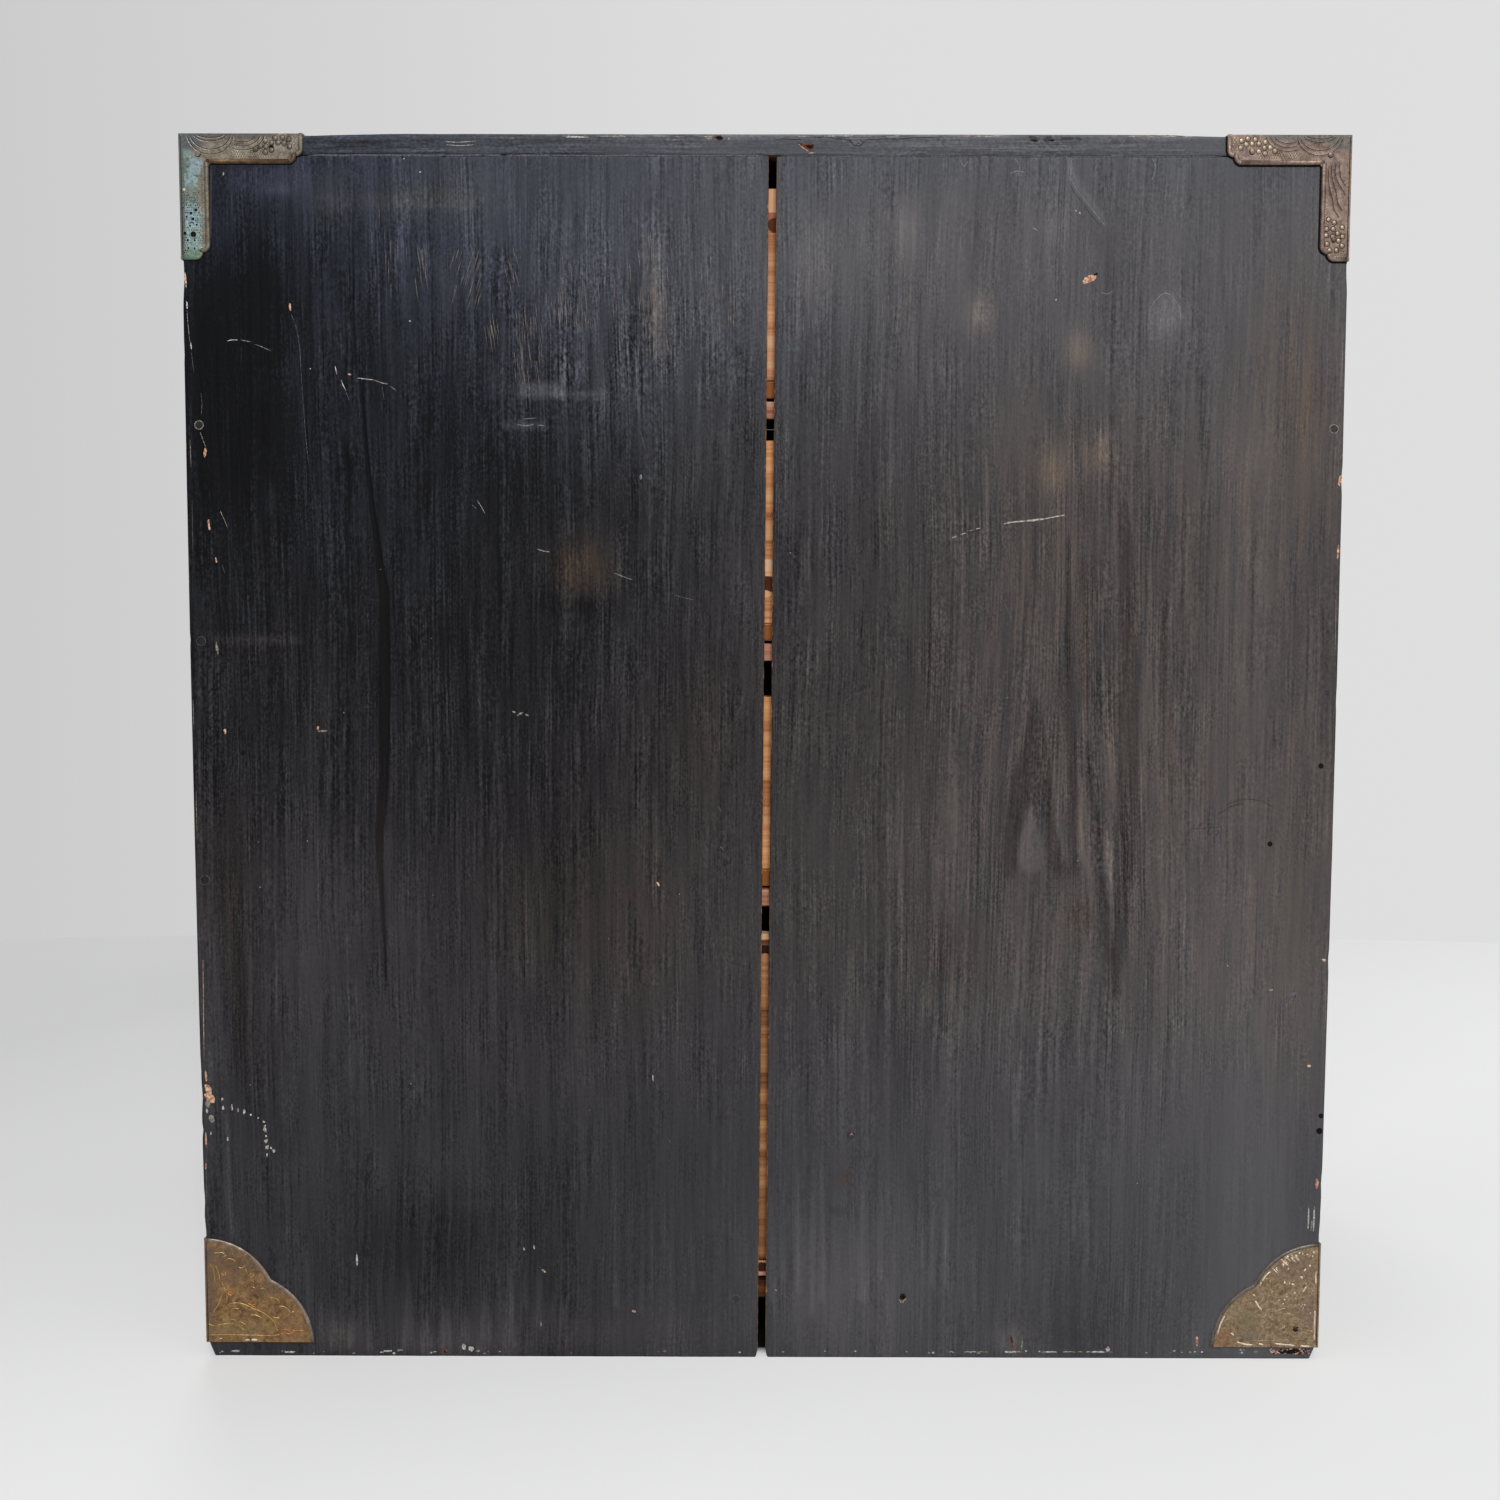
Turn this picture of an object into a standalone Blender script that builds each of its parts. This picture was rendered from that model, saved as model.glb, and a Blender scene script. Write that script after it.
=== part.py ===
"""Kodansu: a small lacquered chest with four drawers and folded brass corner fittings.

The drawers face -Y, the boarded back faces +Y, and the chest stands on z = 0.
Left and right are as seen by someone facing the drawers.
"""

import math

import bmesh
import bpy
from mathutils import Matrix, Vector

# Carcass boards
WIDTH = 0.4500
DEPTH = 0.3000
TOP_THICK = 0.0073
SIDE_THICK = 0.0080
BACK_THICK = 0.0080
SHELF_THICK = 0.0067
BOTTOM_THICK = 0.0072
BASE_CLEAR = 0.0222
RAIL_THICK = 0.0100
HOUSING_DEEP = 0.0030
BOARD_EASE = 0.0004

# Heights of the four drawer openings, from the floor up
DEEP_OPENING = 0.1550
LOWER_OPENING = 0.0920
UPPER_OPENING = 0.0886
TOP_OPENING = 0.0937

# Free height left above each drawer box
DEEP_HEADROOM = 0.0115
LOWER_HEADROOM = 0.0145
UPPER_HEADROOM = 0.0085
TOP_HEADROOM = 0.0115

# The slit where the two back boards have shrunk apart, leaning a little to the left at the top
SLIT_WIDTH = 0.0034
SLIT_FOOT_X = 0.0000
SLIT_TOP_X = -0.0033

# Drawer boards
FRONT_THICK = 0.0120
FRONT_EASE = 0.0008
FRONT_LIP = 0.0060
DRAWER_SIDE_THICK = 0.0060
DRAWER_BACK_THICK = 0.0065
DRAWER_BACK_INSET = 0.0015
DRAWER_BOTTOM_THICK = 0.0065
RUNNER_HIGH = 0.0010

# Handles: a bail with a tapered grip, held by two eye posts over round rosettes
POST_SPACING = 0.1000
HANDLE_ABOVE_MIDDLE = 0.0060
BAIL_PIN_RADIUS = 0.0020
BAIL_GRIP_RADIUS = 0.0029
BAIL_KNOB_RADIUS = 0.0030
BAIL_KNOB_LENGTH = 0.0030
BAIL_KNOB_ROUND = 0.0009
BAIL_DROP = 0.0320
BAIL_EYE_CLEAR = 0.0026
BAIL_SHOULDER_RADIUS = 0.0045
BAIL_GRIP_CORNER = 0.0140
EYE_WIRE_RADIUS = 0.0014
POST_SHANK_RADIUS = 0.0020
POST_CLINCH_LENGTH = 0.0140
POST_CLINCH_WIDTH = 0.0036
POST_CLINCH_THICK = 0.0012
ROSETTE_RADIUS = 0.0115
ROSETTE_RIM = 0.0008
ROSETTE_HIGH = 0.0026
ROSETTE_SHOULDER_RADIUS = 0.0063
ROSETTE_SHOULDER_HIGH = 0.0021

# Corner fittings folded from brass sheet
FITTING_THICK = 0.0007
ANGLE_ARM = 0.0475
ANGLE_WIDE = 0.0110
ANGLE_STEP = 0.0028
QUARTER_REACH = 0.0425
QUARTER_CUSP = 0.0252
QUARTER_BULGE = 0.0048
QUARTER_FOOT = 0.0050
LIP_SETBACK = 0.0008

# Clearances
SEAT_GAP = 0.0003
FRONT_GAP = 0.0008
DRAWER_SIDE_PLAY = 0.0013
STOP_GAP = 0.0004
EYE_PLAY = 0.0004
SHANK_PLAY = 0.0003
BAIL_END_PLAY = 0.0006

# How finely round shapes are cut into flats
ROUND_SIDES = 12
RING_SIDES = 24
WIRE_SIDES = 6
ARC_STEPS = 5
SMOOTH_ANGLE = math.radians(40)
CUT_MARGIN = 0.0050
WELD = 1e-6

# Levels that follow from the sizes above
BOTTOM_TOP = BASE_CLEAR + BOTTOM_THICK
LOWER_SHELF = BOTTOM_TOP + DEEP_OPENING
MIDDLE_SHELF = LOWER_SHELF + SHELF_THICK + LOWER_OPENING
UPPER_SHELF = MIDDLE_SHELF + SHELF_THICK + UPPER_OPENING
TOP_UNDER = UPPER_SHELF + SHELF_THICK + TOP_OPENING
HEIGHT = TOP_UNDER + TOP_THICK

# The eye of a post stands clear of its rosette, and the bail swings about the eye's centre
EYE_HOLE_RADIUS = BAIL_PIN_RADIUS + EYE_PLAY
EYE_RING_RADIUS = EYE_HOLE_RADIUS + EYE_WIRE_RADIUS
EYE_OUTER_RADIUS = EYE_RING_RADIUS + EYE_WIRE_RADIUS
HANDLE_STANDOFF = SEAT_GAP + ROSETTE_HIGH + SEAT_GAP + EYE_OUTER_RADIUS
HANDLE_REACH = HANDLE_STANDOFF + max(EYE_OUTER_RADIUS, BAIL_GRIP_RADIUS, BAIL_KNOB_RADIUS)
FITTING_PROUD = SEAT_GAP + FITTING_THICK

# The whole chest, handles and fittings included, is centred on the origin from front to back
FRONT_Y = (HANDLE_REACH - DEPTH - FITTING_PROUD) / 2
BACK_Y = FRONT_Y + DEPTH
BACK_INNER_Y = BACK_Y - BACK_THICK
SIDE_X = WIDTH / 2
SIDE_INNER_X = SIDE_X - SIDE_THICK


def clear_scene():
    for old in list(bpy.data.objects):
        bpy.data.objects.remove(old, do_unlink=True)


def collection(name):
    made = bpy.data.collections.new(name)
    bpy.context.scene.collection.children.link(made)
    return made


def finish(name, colour, roughness, metallic):
    made = bpy.data.materials.new(name)
    made.use_nodes = True
    shader = made.node_tree.nodes["Principled BSDF"]
    shader.inputs["Base Color"].default_value = (*colour, 1.0)
    shader.inputs["Roughness"].default_value = roughness
    shader.inputs["Metallic"].default_value = metallic
    return made


clear_scene()
CHEST = collection("kodansu_chest")
CUTTERS = collection("kodansu_cutters")
LACQUER = finish("black_lacquer", (0.030, 0.031, 0.036), 0.45, 0.0)
RAW_WOOD = finish("raw_softwood", (0.330, 0.180, 0.090), 0.70, 0.0)
BRASS = finish("aged_brass", (0.300, 0.220, 0.120), 0.40, 1.0)


def group(name, location, parent=None):
    """An empty that carries the pieces that move together."""
    made = bpy.data.objects.new(name, None)
    made.location = location
    CHEST.objects.link(made)
    if parent:
        attach(made, parent)
    return made


def attach(piece, parent):
    """Parent a piece and keep its place in the world."""
    bpy.context.view_layer.update()
    piece.parent = parent
    piece.matrix_parent_inverse = parent.matrix_world.inverted()


def add(name, mesh, material, parent, location=(0, 0, 0)):
    made = bpy.data.objects.new(name, mesh)
    made.location = location
    made.data.materials.append(material)
    CHEST.objects.link(made)
    attach(made, parent)
    return made


def tool(name, mesh, location=(0, 0, 0)):
    """A shape that only cuts or joins a piece, and is not a piece itself."""
    made = bpy.data.objects.new(name, mesh)
    made.location = location
    made.hide_render = True
    made.display_type = "WIRE"
    CUTTERS.objects.link(made)
    return made


def box_mesh(name, low, high):
    """A box mesh about its own centre, and the place of that centre."""
    low = Vector(low)
    high = Vector(high)
    work = bmesh.new()
    bmesh.ops.create_cube(work, size=1.0, matrix=Matrix.Diagonal((*(high - low), 1.0)))
    mesh = bpy.data.meshes.new(name)
    work.to_mesh(mesh)
    work.free()
    return mesh, (low + high) / 2


def rod_mesh(name, radius, length):
    """A round rod along Y about its own centre."""
    work = bmesh.new()
    turn = Matrix.Rotation(math.pi / 2, 4, "X")
    bmesh.ops.create_cone(
        work,
        cap_ends=True,
        segments=ROUND_SIDES,
        radius1=radius,
        radius2=radius,
        depth=length,
        matrix=turn,
    )
    mesh = bpy.data.meshes.new(name)
    work.to_mesh(mesh)
    work.free()
    return mesh


def smooth(mesh):
    mesh.shade_smooth()
    mesh.set_sharp_from_angle(angle=SMOOTH_ANGLE)


def ease_edges(piece, width):
    bevel = piece.modifiers.new("eased_edges", "BEVEL")
    bevel.width = width
    bevel.segments = 1
    bevel.limit_method = "ANGLE"


def combine(piece, other, operation):
    change = piece.modifiers.new(operation.lower(), "BOOLEAN")
    change.operation = operation
    change.solver = "EXACT"
    change.object = other


def board(name, low, high, material, parent, ease=BOARD_EASE):
    mesh, centre = box_mesh(name, low, high)
    made = add(name, mesh, material, parent, centre)
    ease_edges(made, ease)
    return made


def cut_box(piece, name, low, high):
    mesh, centre = box_mesh(name, low, high)
    combine(piece, tool(name, mesh, centre), "DIFFERENCE")


def cut_rod(piece, name, radius, length, centre):
    combine(piece, tool(name, rod_mesh(name, radius, length), centre), "DIFFERENCE")


def outline_mesh(name, points, thick):
    """A flat outline in X and Z, given thickness along Y about y = 0."""
    curve = bpy.data.curves.new(name, "CURVE")
    curve.dimensions = "2D"
    curve.fill_mode = "BOTH"
    curve.extrude = thick / 2
    spline = curve.splines.new("POLY")
    spline.points.add(len(points) - 1)
    for point, (x, z) in zip(spline.points, points):
        point.co = (x, z, 0.0, 1.0)
    spline.use_cyclic_u = True
    shape = bpy.data.objects.new(name, curve)
    bpy.context.scene.collection.objects.link(shape)
    bpy.context.view_layer.update()
    flat = shape.evaluated_get(bpy.context.evaluated_depsgraph_get())
    mesh = bpy.data.meshes.new_from_object(flat)
    bpy.data.objects.remove(shape, do_unlink=True)
    bpy.data.curves.remove(curve)
    mesh.name = name
    work = bmesh.new()
    work.from_mesh(mesh)
    bmesh.ops.remove_doubles(work, verts=work.verts, dist=WELD)
    bmesh.ops.rotate(work, verts=work.verts, matrix=Matrix.Rotation(math.pi / 2, 3, "X"))
    bmesh.ops.recalc_face_normals(work, faces=work.faces)
    work.to_mesh(mesh)
    work.free()
    mesh.materials.clear()
    return mesh


def arc(start, end, bulge, steps=ARC_STEPS):
    """Points after start, up to end, on a round arc whose middle stands out by bulge on the left."""
    start = Vector(start)
    end = Vector(end)
    chord = end - start
    half = chord.length / 2
    radius = (half * half + bulge * bulge) / (2 * bulge)
    away = Vector((-chord.y, chord.x)).normalized()
    centre = (start + end) / 2 + away * (bulge - radius)
    spread = 2 * math.asin(half / radius)
    first = start - centre
    points = []
    for step in range(1, steps + 1):
        turn = Matrix.Rotation(-spread * step / steps, 2)
        points.append(tuple(centre + turn @ first))
    return points


def carcass_boards(carcass):
    side_top = TOP_UNDER - SEAT_GAP
    side_back = BACK_INNER_Y - SEAT_GAP
    board(
        "top_board",
        (-SIDE_X, FRONT_Y, TOP_UNDER),
        (SIDE_X, BACK_Y, HEIGHT),
        LACQUER,
        carcass,
    )
    sides = {}
    for name, hand in (("left_side", -1), ("right_side", 1)):
        outer = hand * SIDE_X
        inner = hand * SIDE_INNER_X
        sides[name] = board(
            name,
            (min(outer, inner), FRONT_Y, 0),
            (max(outer, inner), side_back, side_top),
            LACQUER,
            carcass,
        )
    shelf_reach = SIDE_INNER_X + HOUSING_DEEP - SEAT_GAP
    levels = (
        ("bottom_board", BASE_CLEAR, BOTTOM_THICK),
        ("shelf_lower", LOWER_SHELF, SHELF_THICK),
        ("shelf_middle", MIDDLE_SHELF, SHELF_THICK),
        ("shelf_upper", UPPER_SHELF, SHELF_THICK),
    )
    for name, under, thick in levels:
        board(
            name,
            (-shelf_reach, FRONT_Y, under),
            (shelf_reach, side_back, under + thick),
            RAW_WOOD,
            carcass,
        )
        house_shelf(sides, name, under, thick, side_back)
    rail_reach = SIDE_INNER_X - SEAT_GAP
    board(
        "base_rail",
        (-rail_reach, FRONT_Y, 0),
        (rail_reach, FRONT_Y + RAIL_THICK, BASE_CLEAR - SEAT_GAP),
        LACQUER,
        carcass,
    )


def house_shelf(sides, shelf, under, thick, side_back):
    """The groove in each side that takes one shelf's end."""
    bottom = SIDE_INNER_X + HOUSING_DEEP
    mouth = SIDE_INNER_X - CUT_MARGIN
    for name, side in sides.items():
        hand = -1 if name == "left_side" else 1
        cut_box(
            side,
            f"{shelf}_housing_{name}",
            (min(hand * bottom, hand * mouth), FRONT_Y - CUT_MARGIN, under - SEAT_GAP),
            (max(hand * bottom, hand * mouth), side_back + CUT_MARGIN, under + thick + SEAT_GAP),
        )


def back_boards(carcass):
    """Two boards from the floor to the top board, with the leaning slit between them."""
    board_top = TOP_UNDER - SEAT_GAP
    middle_y = BACK_Y - BACK_THICK / 2
    for name, hand in (("back_board_left", -1), ("back_board_right", 1)):
        foot = SLIT_FOOT_X + hand * SLIT_WIDTH / 2
        head = SLIT_TOP_X + hand * SLIT_WIDTH / 2
        outer = hand * SIDE_X
        outline = [(outer, 0), (foot, 0), (head, board_top), (outer, board_top)]
        mesh = outline_mesh(name, outline, BACK_THICK)
        made = add(name, mesh, LACQUER, carcass, (0, middle_y, 0))
        ease_edges(made, BOARD_EASE)


def drawer_boards(name, floor, opening, headroom, slide):
    """The five boards of one drawer, standing on the board whose top is at floor."""
    front_reach = SIDE_INNER_X - FRONT_GAP
    front_back = FRONT_Y + FRONT_THICK
    lap_y = FRONT_Y + FRONT_LIP
    side_outer = SIDE_INNER_X - DRAWER_SIDE_PLAY
    side_inner = side_outer - DRAWER_SIDE_THICK
    side_top = floor + opening - headroom
    rear = BACK_INNER_Y - STOP_GAP
    back_face = rear - DRAWER_BACK_INSET
    bottom_under = floor + SEAT_GAP + RUNNER_HIGH
    bottom_top = bottom_under + DRAWER_BOTTOM_THICK
    front_low = floor + FRONT_GAP
    front_high = floor + opening - FRONT_GAP
    front = board(
        f"{name}_drawer_front",
        (-front_reach, FRONT_Y, front_low),
        (front_reach, front_back, front_high),
        LACQUER,
        slide,
        FRONT_EASE,
    )
    for side, hand in (("left", -1), ("right", 1)):
        outer = hand * side_outer
        inner = hand * side_inner
        board(
            f"{name}_drawer_{side}_side",
            (min(outer, inner), lap_y + SEAT_GAP, floor + SEAT_GAP),
            (max(outer, inner), rear, side_top),
            RAW_WOOD,
            slide,
        )
        lap_inner = hand * (side_inner - SEAT_GAP)
        lap_outer = hand * (front_reach + CUT_MARGIN)
        cut_box(
            front,
            f"{name}_lap_{side}",
            (min(lap_inner, lap_outer), lap_y, front_low - CUT_MARGIN),
            (max(lap_inner, lap_outer), front_back + CUT_MARGIN, front_high + CUT_MARGIN),
        )
    between = side_inner - SEAT_GAP
    cut_box(
        front,
        f"{name}_lap_bottom",
        (-front_reach - CUT_MARGIN, lap_y, front_low - CUT_MARGIN),
        (front_reach + CUT_MARGIN, front_back + CUT_MARGIN, bottom_top + SEAT_GAP),
    )
    board(
        f"{name}_drawer_bottom",
        (-between, lap_y + SEAT_GAP, bottom_under),
        (between, back_face, bottom_top),
        RAW_WOOD,
        slide,
    )
    board(
        f"{name}_drawer_back",
        (-between, back_face - DRAWER_BACK_THICK, bottom_top + SEAT_GAP),
        (between, back_face, side_top),
        RAW_WOOD,
        slide,
    )
    return front


def rosette(name, centre, slide):
    """A low turned dome with a hole for the post, its flat side to the drawer front."""
    hole = POST_SHANK_RADIUS + SHANK_PLAY
    profile = [
        (hole, 0),
        (hole, ROSETTE_HIGH),
        (ROSETTE_SHOULDER_RADIUS, ROSETTE_SHOULDER_HIGH),
        (ROSETTE_RADIUS, ROSETTE_RIM),
        (ROSETTE_RADIUS, 0),
    ]
    work = bmesh.new()
    ring = [work.verts.new((radius, 0, high)) for radius, high in profile]
    for first, second in zip(ring, ring[1:] + ring[:1]):
        work.edges.new((first, second))
    mesh = bpy.data.meshes.new(name)
    work.to_mesh(mesh)
    work.free()
    made = add(name, mesh, BRASS, slide, centre)
    made.rotation_euler = (math.pi / 2, 0, 0)
    turn = made.modifiers.new("turned", "SCREW")
    turn.steps = RING_SIDES
    turn.render_steps = RING_SIDES
    turn.use_merge_vertices = True
    turn.merge_threshold = WELD
    smooth(mesh)


def post(name, x, axis_y, axis_z, slide):
    """An eye with a shank through the drawer front, clinched flat inside."""
    work_mesh = bpy.data.meshes.new(name)
    made = add(name, work_mesh, BRASS, slide, (x, axis_y, axis_z))
    work = bmesh.new()
    section = []
    for step in range(WIRE_SIDES):
        angle = 2 * math.pi * (step + 0.5) / WIRE_SIDES
        across = EYE_WIRE_RADIUS * math.cos(angle)
        out = EYE_RING_RADIUS + EYE_WIRE_RADIUS * math.sin(angle)
        section.append(work.verts.new((across, 0, out)))
    edges = [work.edges.new(pair) for pair in zip(section, section[1:] + section[:1])]
    bmesh.ops.spin(
        work,
        geom=section + edges,
        cent=(0, 0, 0),
        axis=(1, 0, 0),
        angle=2 * math.pi,
        steps=RING_SIDES,
        use_merge=True,
    )
    bmesh.ops.remove_doubles(work, verts=work.verts, dist=WELD)
    bmesh.ops.recalc_face_normals(work, faces=work.faces)
    work.to_mesh(work_mesh)
    work.free()
    shank_start = EYE_HOLE_RADIUS + EYE_WIRE_RADIUS / 2
    clinch_start = FRONT_Y + FRONT_THICK + SEAT_GAP - axis_y
    clinch_end = clinch_start + POST_CLINCH_THICK
    shank_end = clinch_start + POST_CLINCH_THICK / 2
    shank = rod_mesh(f"{name}_shank", POST_SHANK_RADIUS, shank_end - shank_start)
    middle = (shank_start + shank_end) / 2
    combine(made, tool(f"{name}_shank", shank, (x, axis_y + middle, axis_z)), "UNION")
    clinch, centre = box_mesh(
        f"{name}_clinch",
        (x - POST_CLINCH_WIDTH / 2, axis_y + clinch_start, axis_z - POST_CLINCH_LENGTH / 2),
        (x + POST_CLINCH_WIDTH / 2, axis_y + clinch_end, axis_z + POST_CLINCH_LENGTH / 2),
    )
    combine(made, tool(f"{name}_clinch", clinch, centre), "UNION")
    smooth(work_mesh)


def bend(centre, radius, start, end, steps=ARC_STEPS):
    """Points of a round bend in X and Z, between two angles in degrees."""
    points = []
    for step in range(steps + 1):
        angle = math.radians(start + (end - start) * step / steps)
        points.append((centre[0] + radius * math.cos(angle), centre[1] + radius * math.sin(angle)))
    return points


def bail(name, axis_y, axis_z, slide):
    """A bent rod that hangs from the two eyes, thickest along its grip, about its own hinge axis."""
    eye_x = POST_SPACING / 2
    leg_x = eye_x + EYE_WIRE_RADIUS + BAIL_EYE_CLEAR + BAIL_SHOULDER_RADIUS
    knob_start = eye_x - EYE_WIRE_RADIUS - BAIL_END_PLAY
    knob_end = knob_start - BAIL_KNOB_LENGTH
    shoulder = bend(
        (leg_x - BAIL_SHOULDER_RADIUS, -BAIL_SHOULDER_RADIUS), BAIL_SHOULDER_RADIUS, 90, 0
    )
    corner = bend(
        (leg_x - BAIL_GRIP_CORNER, BAIL_GRIP_CORNER - BAIL_DROP), BAIL_GRIP_CORNER, 0, -90
    )
    half = [
        (knob_end, 0, BAIL_PIN_RADIUS),
        (knob_end + BAIL_KNOB_ROUND, 0, BAIL_KNOB_RADIUS),
        (knob_start - BAIL_KNOB_ROUND, 0, BAIL_KNOB_RADIUS),
        (knob_start, 0, BAIL_PIN_RADIUS),
    ]
    half += [(x, z, BAIL_PIN_RADIUS) for x, z in shoulder]
    for step, (x, z) in enumerate(corner):
        share = step / ARC_STEPS
        half.append((x, z, BAIL_PIN_RADIUS + (BAIL_GRIP_RADIUS - BAIL_PIN_RADIUS) * share))
    other = [(-x, z, radius) for x, z, radius in reversed(half)]
    path = half + other
    curve = bpy.data.curves.new(name, "CURVE")
    curve.dimensions = "3D"
    curve.bevel_depth = 1.0
    curve.bevel_resolution = 2
    curve.use_fill_caps = True
    spline = curve.splines.new("POLY")
    spline.points.add(len(path) - 1)
    for point, (x, z, radius) in zip(spline.points, path):
        point.co = (x, 0.0, z, 1.0)
        point.radius = radius
    add(name, curve, BRASS, slide, (0, axis_y, axis_z))


def handle(name, front, axis_z, slide):
    """One bail with its posts and rosettes, and the holes for the posts."""
    axis_y = FRONT_Y - HANDLE_STANDOFF
    for side, hand in (("left", -1), ("right", 1)):
        x = hand * POST_SPACING / 2
        rosette(f"{name}_rosette_{side}", (x, FRONT_Y - SEAT_GAP, axis_z), slide)
        post(f"{name}_post_{side}", x, axis_y, axis_z, slide)
        cut_rod(
            front,
            f"{name}_post_hole_{side}",
            POST_SHANK_RADIUS + SHANK_PLAY,
            FRONT_THICK + 2 * CUT_MARGIN,
            (x, FRONT_Y + FRONT_THICK / 2, axis_z),
        )
    bail(f"{name}_bail", axis_y, axis_z, slide)


def drawers(carcass):
    tiers = (
        ("deep", BOTTOM_TOP, DEEP_OPENING, DEEP_HEADROOM),
        ("lower", LOWER_SHELF + SHELF_THICK, LOWER_OPENING, LOWER_HEADROOM),
        ("upper", MIDDLE_SHELF + SHELF_THICK, UPPER_OPENING, UPPER_HEADROOM),
        ("top", UPPER_SHELF + SHELF_THICK, TOP_OPENING, TOP_HEADROOM),
    )
    for name, floor, opening, headroom in tiers:
        slide = group(f"{name}_drawer_slide", (0, FRONT_Y, floor), carcass)
        front = drawer_boards(name, floor, opening, headroom, slide)
        handle(name, front, floor + opening / 2 + HANDLE_ABOVE_MIDDLE, slide)


def angle_outline():
    """An L from the corner (0, 0), each arm ending in two small steps back to full width."""
    end_wide = ANGLE_WIDE - 2 * ANGLE_STEP
    arm = [
        (ANGLE_ARM, 0),
        (ANGLE_ARM, end_wide),
        (ANGLE_ARM - ANGLE_STEP, end_wide + ANGLE_STEP),
        (ANGLE_ARM - 2 * ANGLE_STEP, ANGLE_WIDE),
    ]
    mirrored = [(v, u) for u, v in reversed(arm)]
    return [(0, 0)] + arm + [(ANGLE_WIDE, ANGLE_WIDE)] + mirrored


def quarter_outline():
    """A quarter plate from the corner (0, 0), its free edge two round lobes that meet in a cusp."""
    cusp = (QUARTER_CUSP, QUARTER_CUSP)
    lower = arc((QUARTER_REACH, 0), cusp, -QUARTER_BULGE)
    upper = arc(cusp, (0, QUARTER_REACH), -QUARTER_BULGE)
    return [(0, 0), (QUARTER_REACH, 0)] + lower + upper


def lip_angle_outline():
    """A narrow L for the front edges of the top board and a side, clear of the drawers."""
    top_lip = SEAT_GAP + TOP_THICK - LIP_SETBACK
    side_lip = SEAT_GAP + SIDE_THICK - LIP_SETBACK
    return [
        (0, 0),
        (ANGLE_ARM, 0),
        (ANGLE_ARM, top_lip),
        (side_lip, top_lip),
        (side_lip, ANGLE_ARM),
        (0, ANGLE_ARM),
    ]


def lip_strip_outline():
    """A narrow upright strip for the front edge of a side."""
    side_lip = SEAT_GAP + SIDE_THICK - LIP_SETBACK
    return [(0, 0), (side_lip, 0), (side_lip, QUARTER_REACH), (0, QUARTER_REACH)]


def folded_fitting(name, corner, plates, carcass):
    """Brass sheet folded round a corner: flat plates that share their fold lines, thickened outwards.

    Each plate is its outline, the two directions it is drawn along and the way it faces.
    """
    work = bmesh.new()
    for outline, along_u, along_v, outward in plates:
        along_u = Vector(along_u)
        along_v = Vector(along_v)
        face = work.faces.new([work.verts.new(along_u * u + along_v * v) for u, v in outline])
        face.normal_update()
        if face.normal.dot(Vector(outward)) < 0:
            face.normal_flip()
    bmesh.ops.remove_doubles(work, verts=work.verts, dist=WELD)
    mesh = bpy.data.meshes.new(name)
    work.to_mesh(mesh)
    work.free()
    made = add(name, mesh, BRASS, carcass, corner)
    sheet = made.modifiers.new("sheet", "SOLIDIFY")
    sheet.thickness = FITTING_THICK
    sheet.offset = 1.0
    sheet.use_even_offset = True
    sheet.use_quality_normals = True


def corner_fittings(carcass):
    """Eight fittings: full plates on the back, sides and top, and narrow lips on the drawer side."""
    up = (0, 0, 1)
    down = (0, 0, -1)
    for hand_name, hand in (("left", -1), ("right", 1)):
        inward = (-hand, 0, 0)
        side_out = (hand, 0, 0)
        x = hand * (SIDE_X + SEAT_GAP)
        for end_name, end in (("front", -1), ("back", 1)):
            end_out = (0, end, 0)
            to_middle = (0, -end, 0)
            y = BACK_Y + SEAT_GAP if end > 0 else FRONT_Y - SEAT_GAP
            end_angle = angle_outline() if end > 0 else lip_angle_outline()
            end_quarter = quarter_outline() if end > 0 else lip_strip_outline()
            folded_fitting(
                f"top_{end_name}_{hand_name}_fitting",
                (x, y, HEIGHT + SEAT_GAP),
                (
                    (end_angle, inward, down, end_out),
                    (angle_outline(), to_middle, down, side_out),
                    (angle_outline(), inward, to_middle, up),
                ),
                carcass,
            )
            folded_fitting(
                f"foot_{end_name}_{hand_name}_fitting",
                (x, y, QUARTER_FOOT),
                (
                    (end_quarter, inward, up, end_out),
                    (quarter_outline(), to_middle, up, side_out),
                ),
                carcass,
            )


def build():
    carcass = group("carcass", (0, 0, 0))
    carcass_boards(carcass)
    back_boards(carcass)
    drawers(carcass)
    corner_fittings(carcass)


build()
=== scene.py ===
"""The kodansu's looks: black lacquer wiped over softwood, and old chased brass, seen from the boarded back.

Left and right are as seen by someone facing the drawers, so the photograph's left is the chest's right.
"""

import random
from functools import partial
from math import cos, hypot, pi, radians, sin

import bmesh
import bpy
import numpy as np
from mathutils import Matrix, Vector, noise


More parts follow.
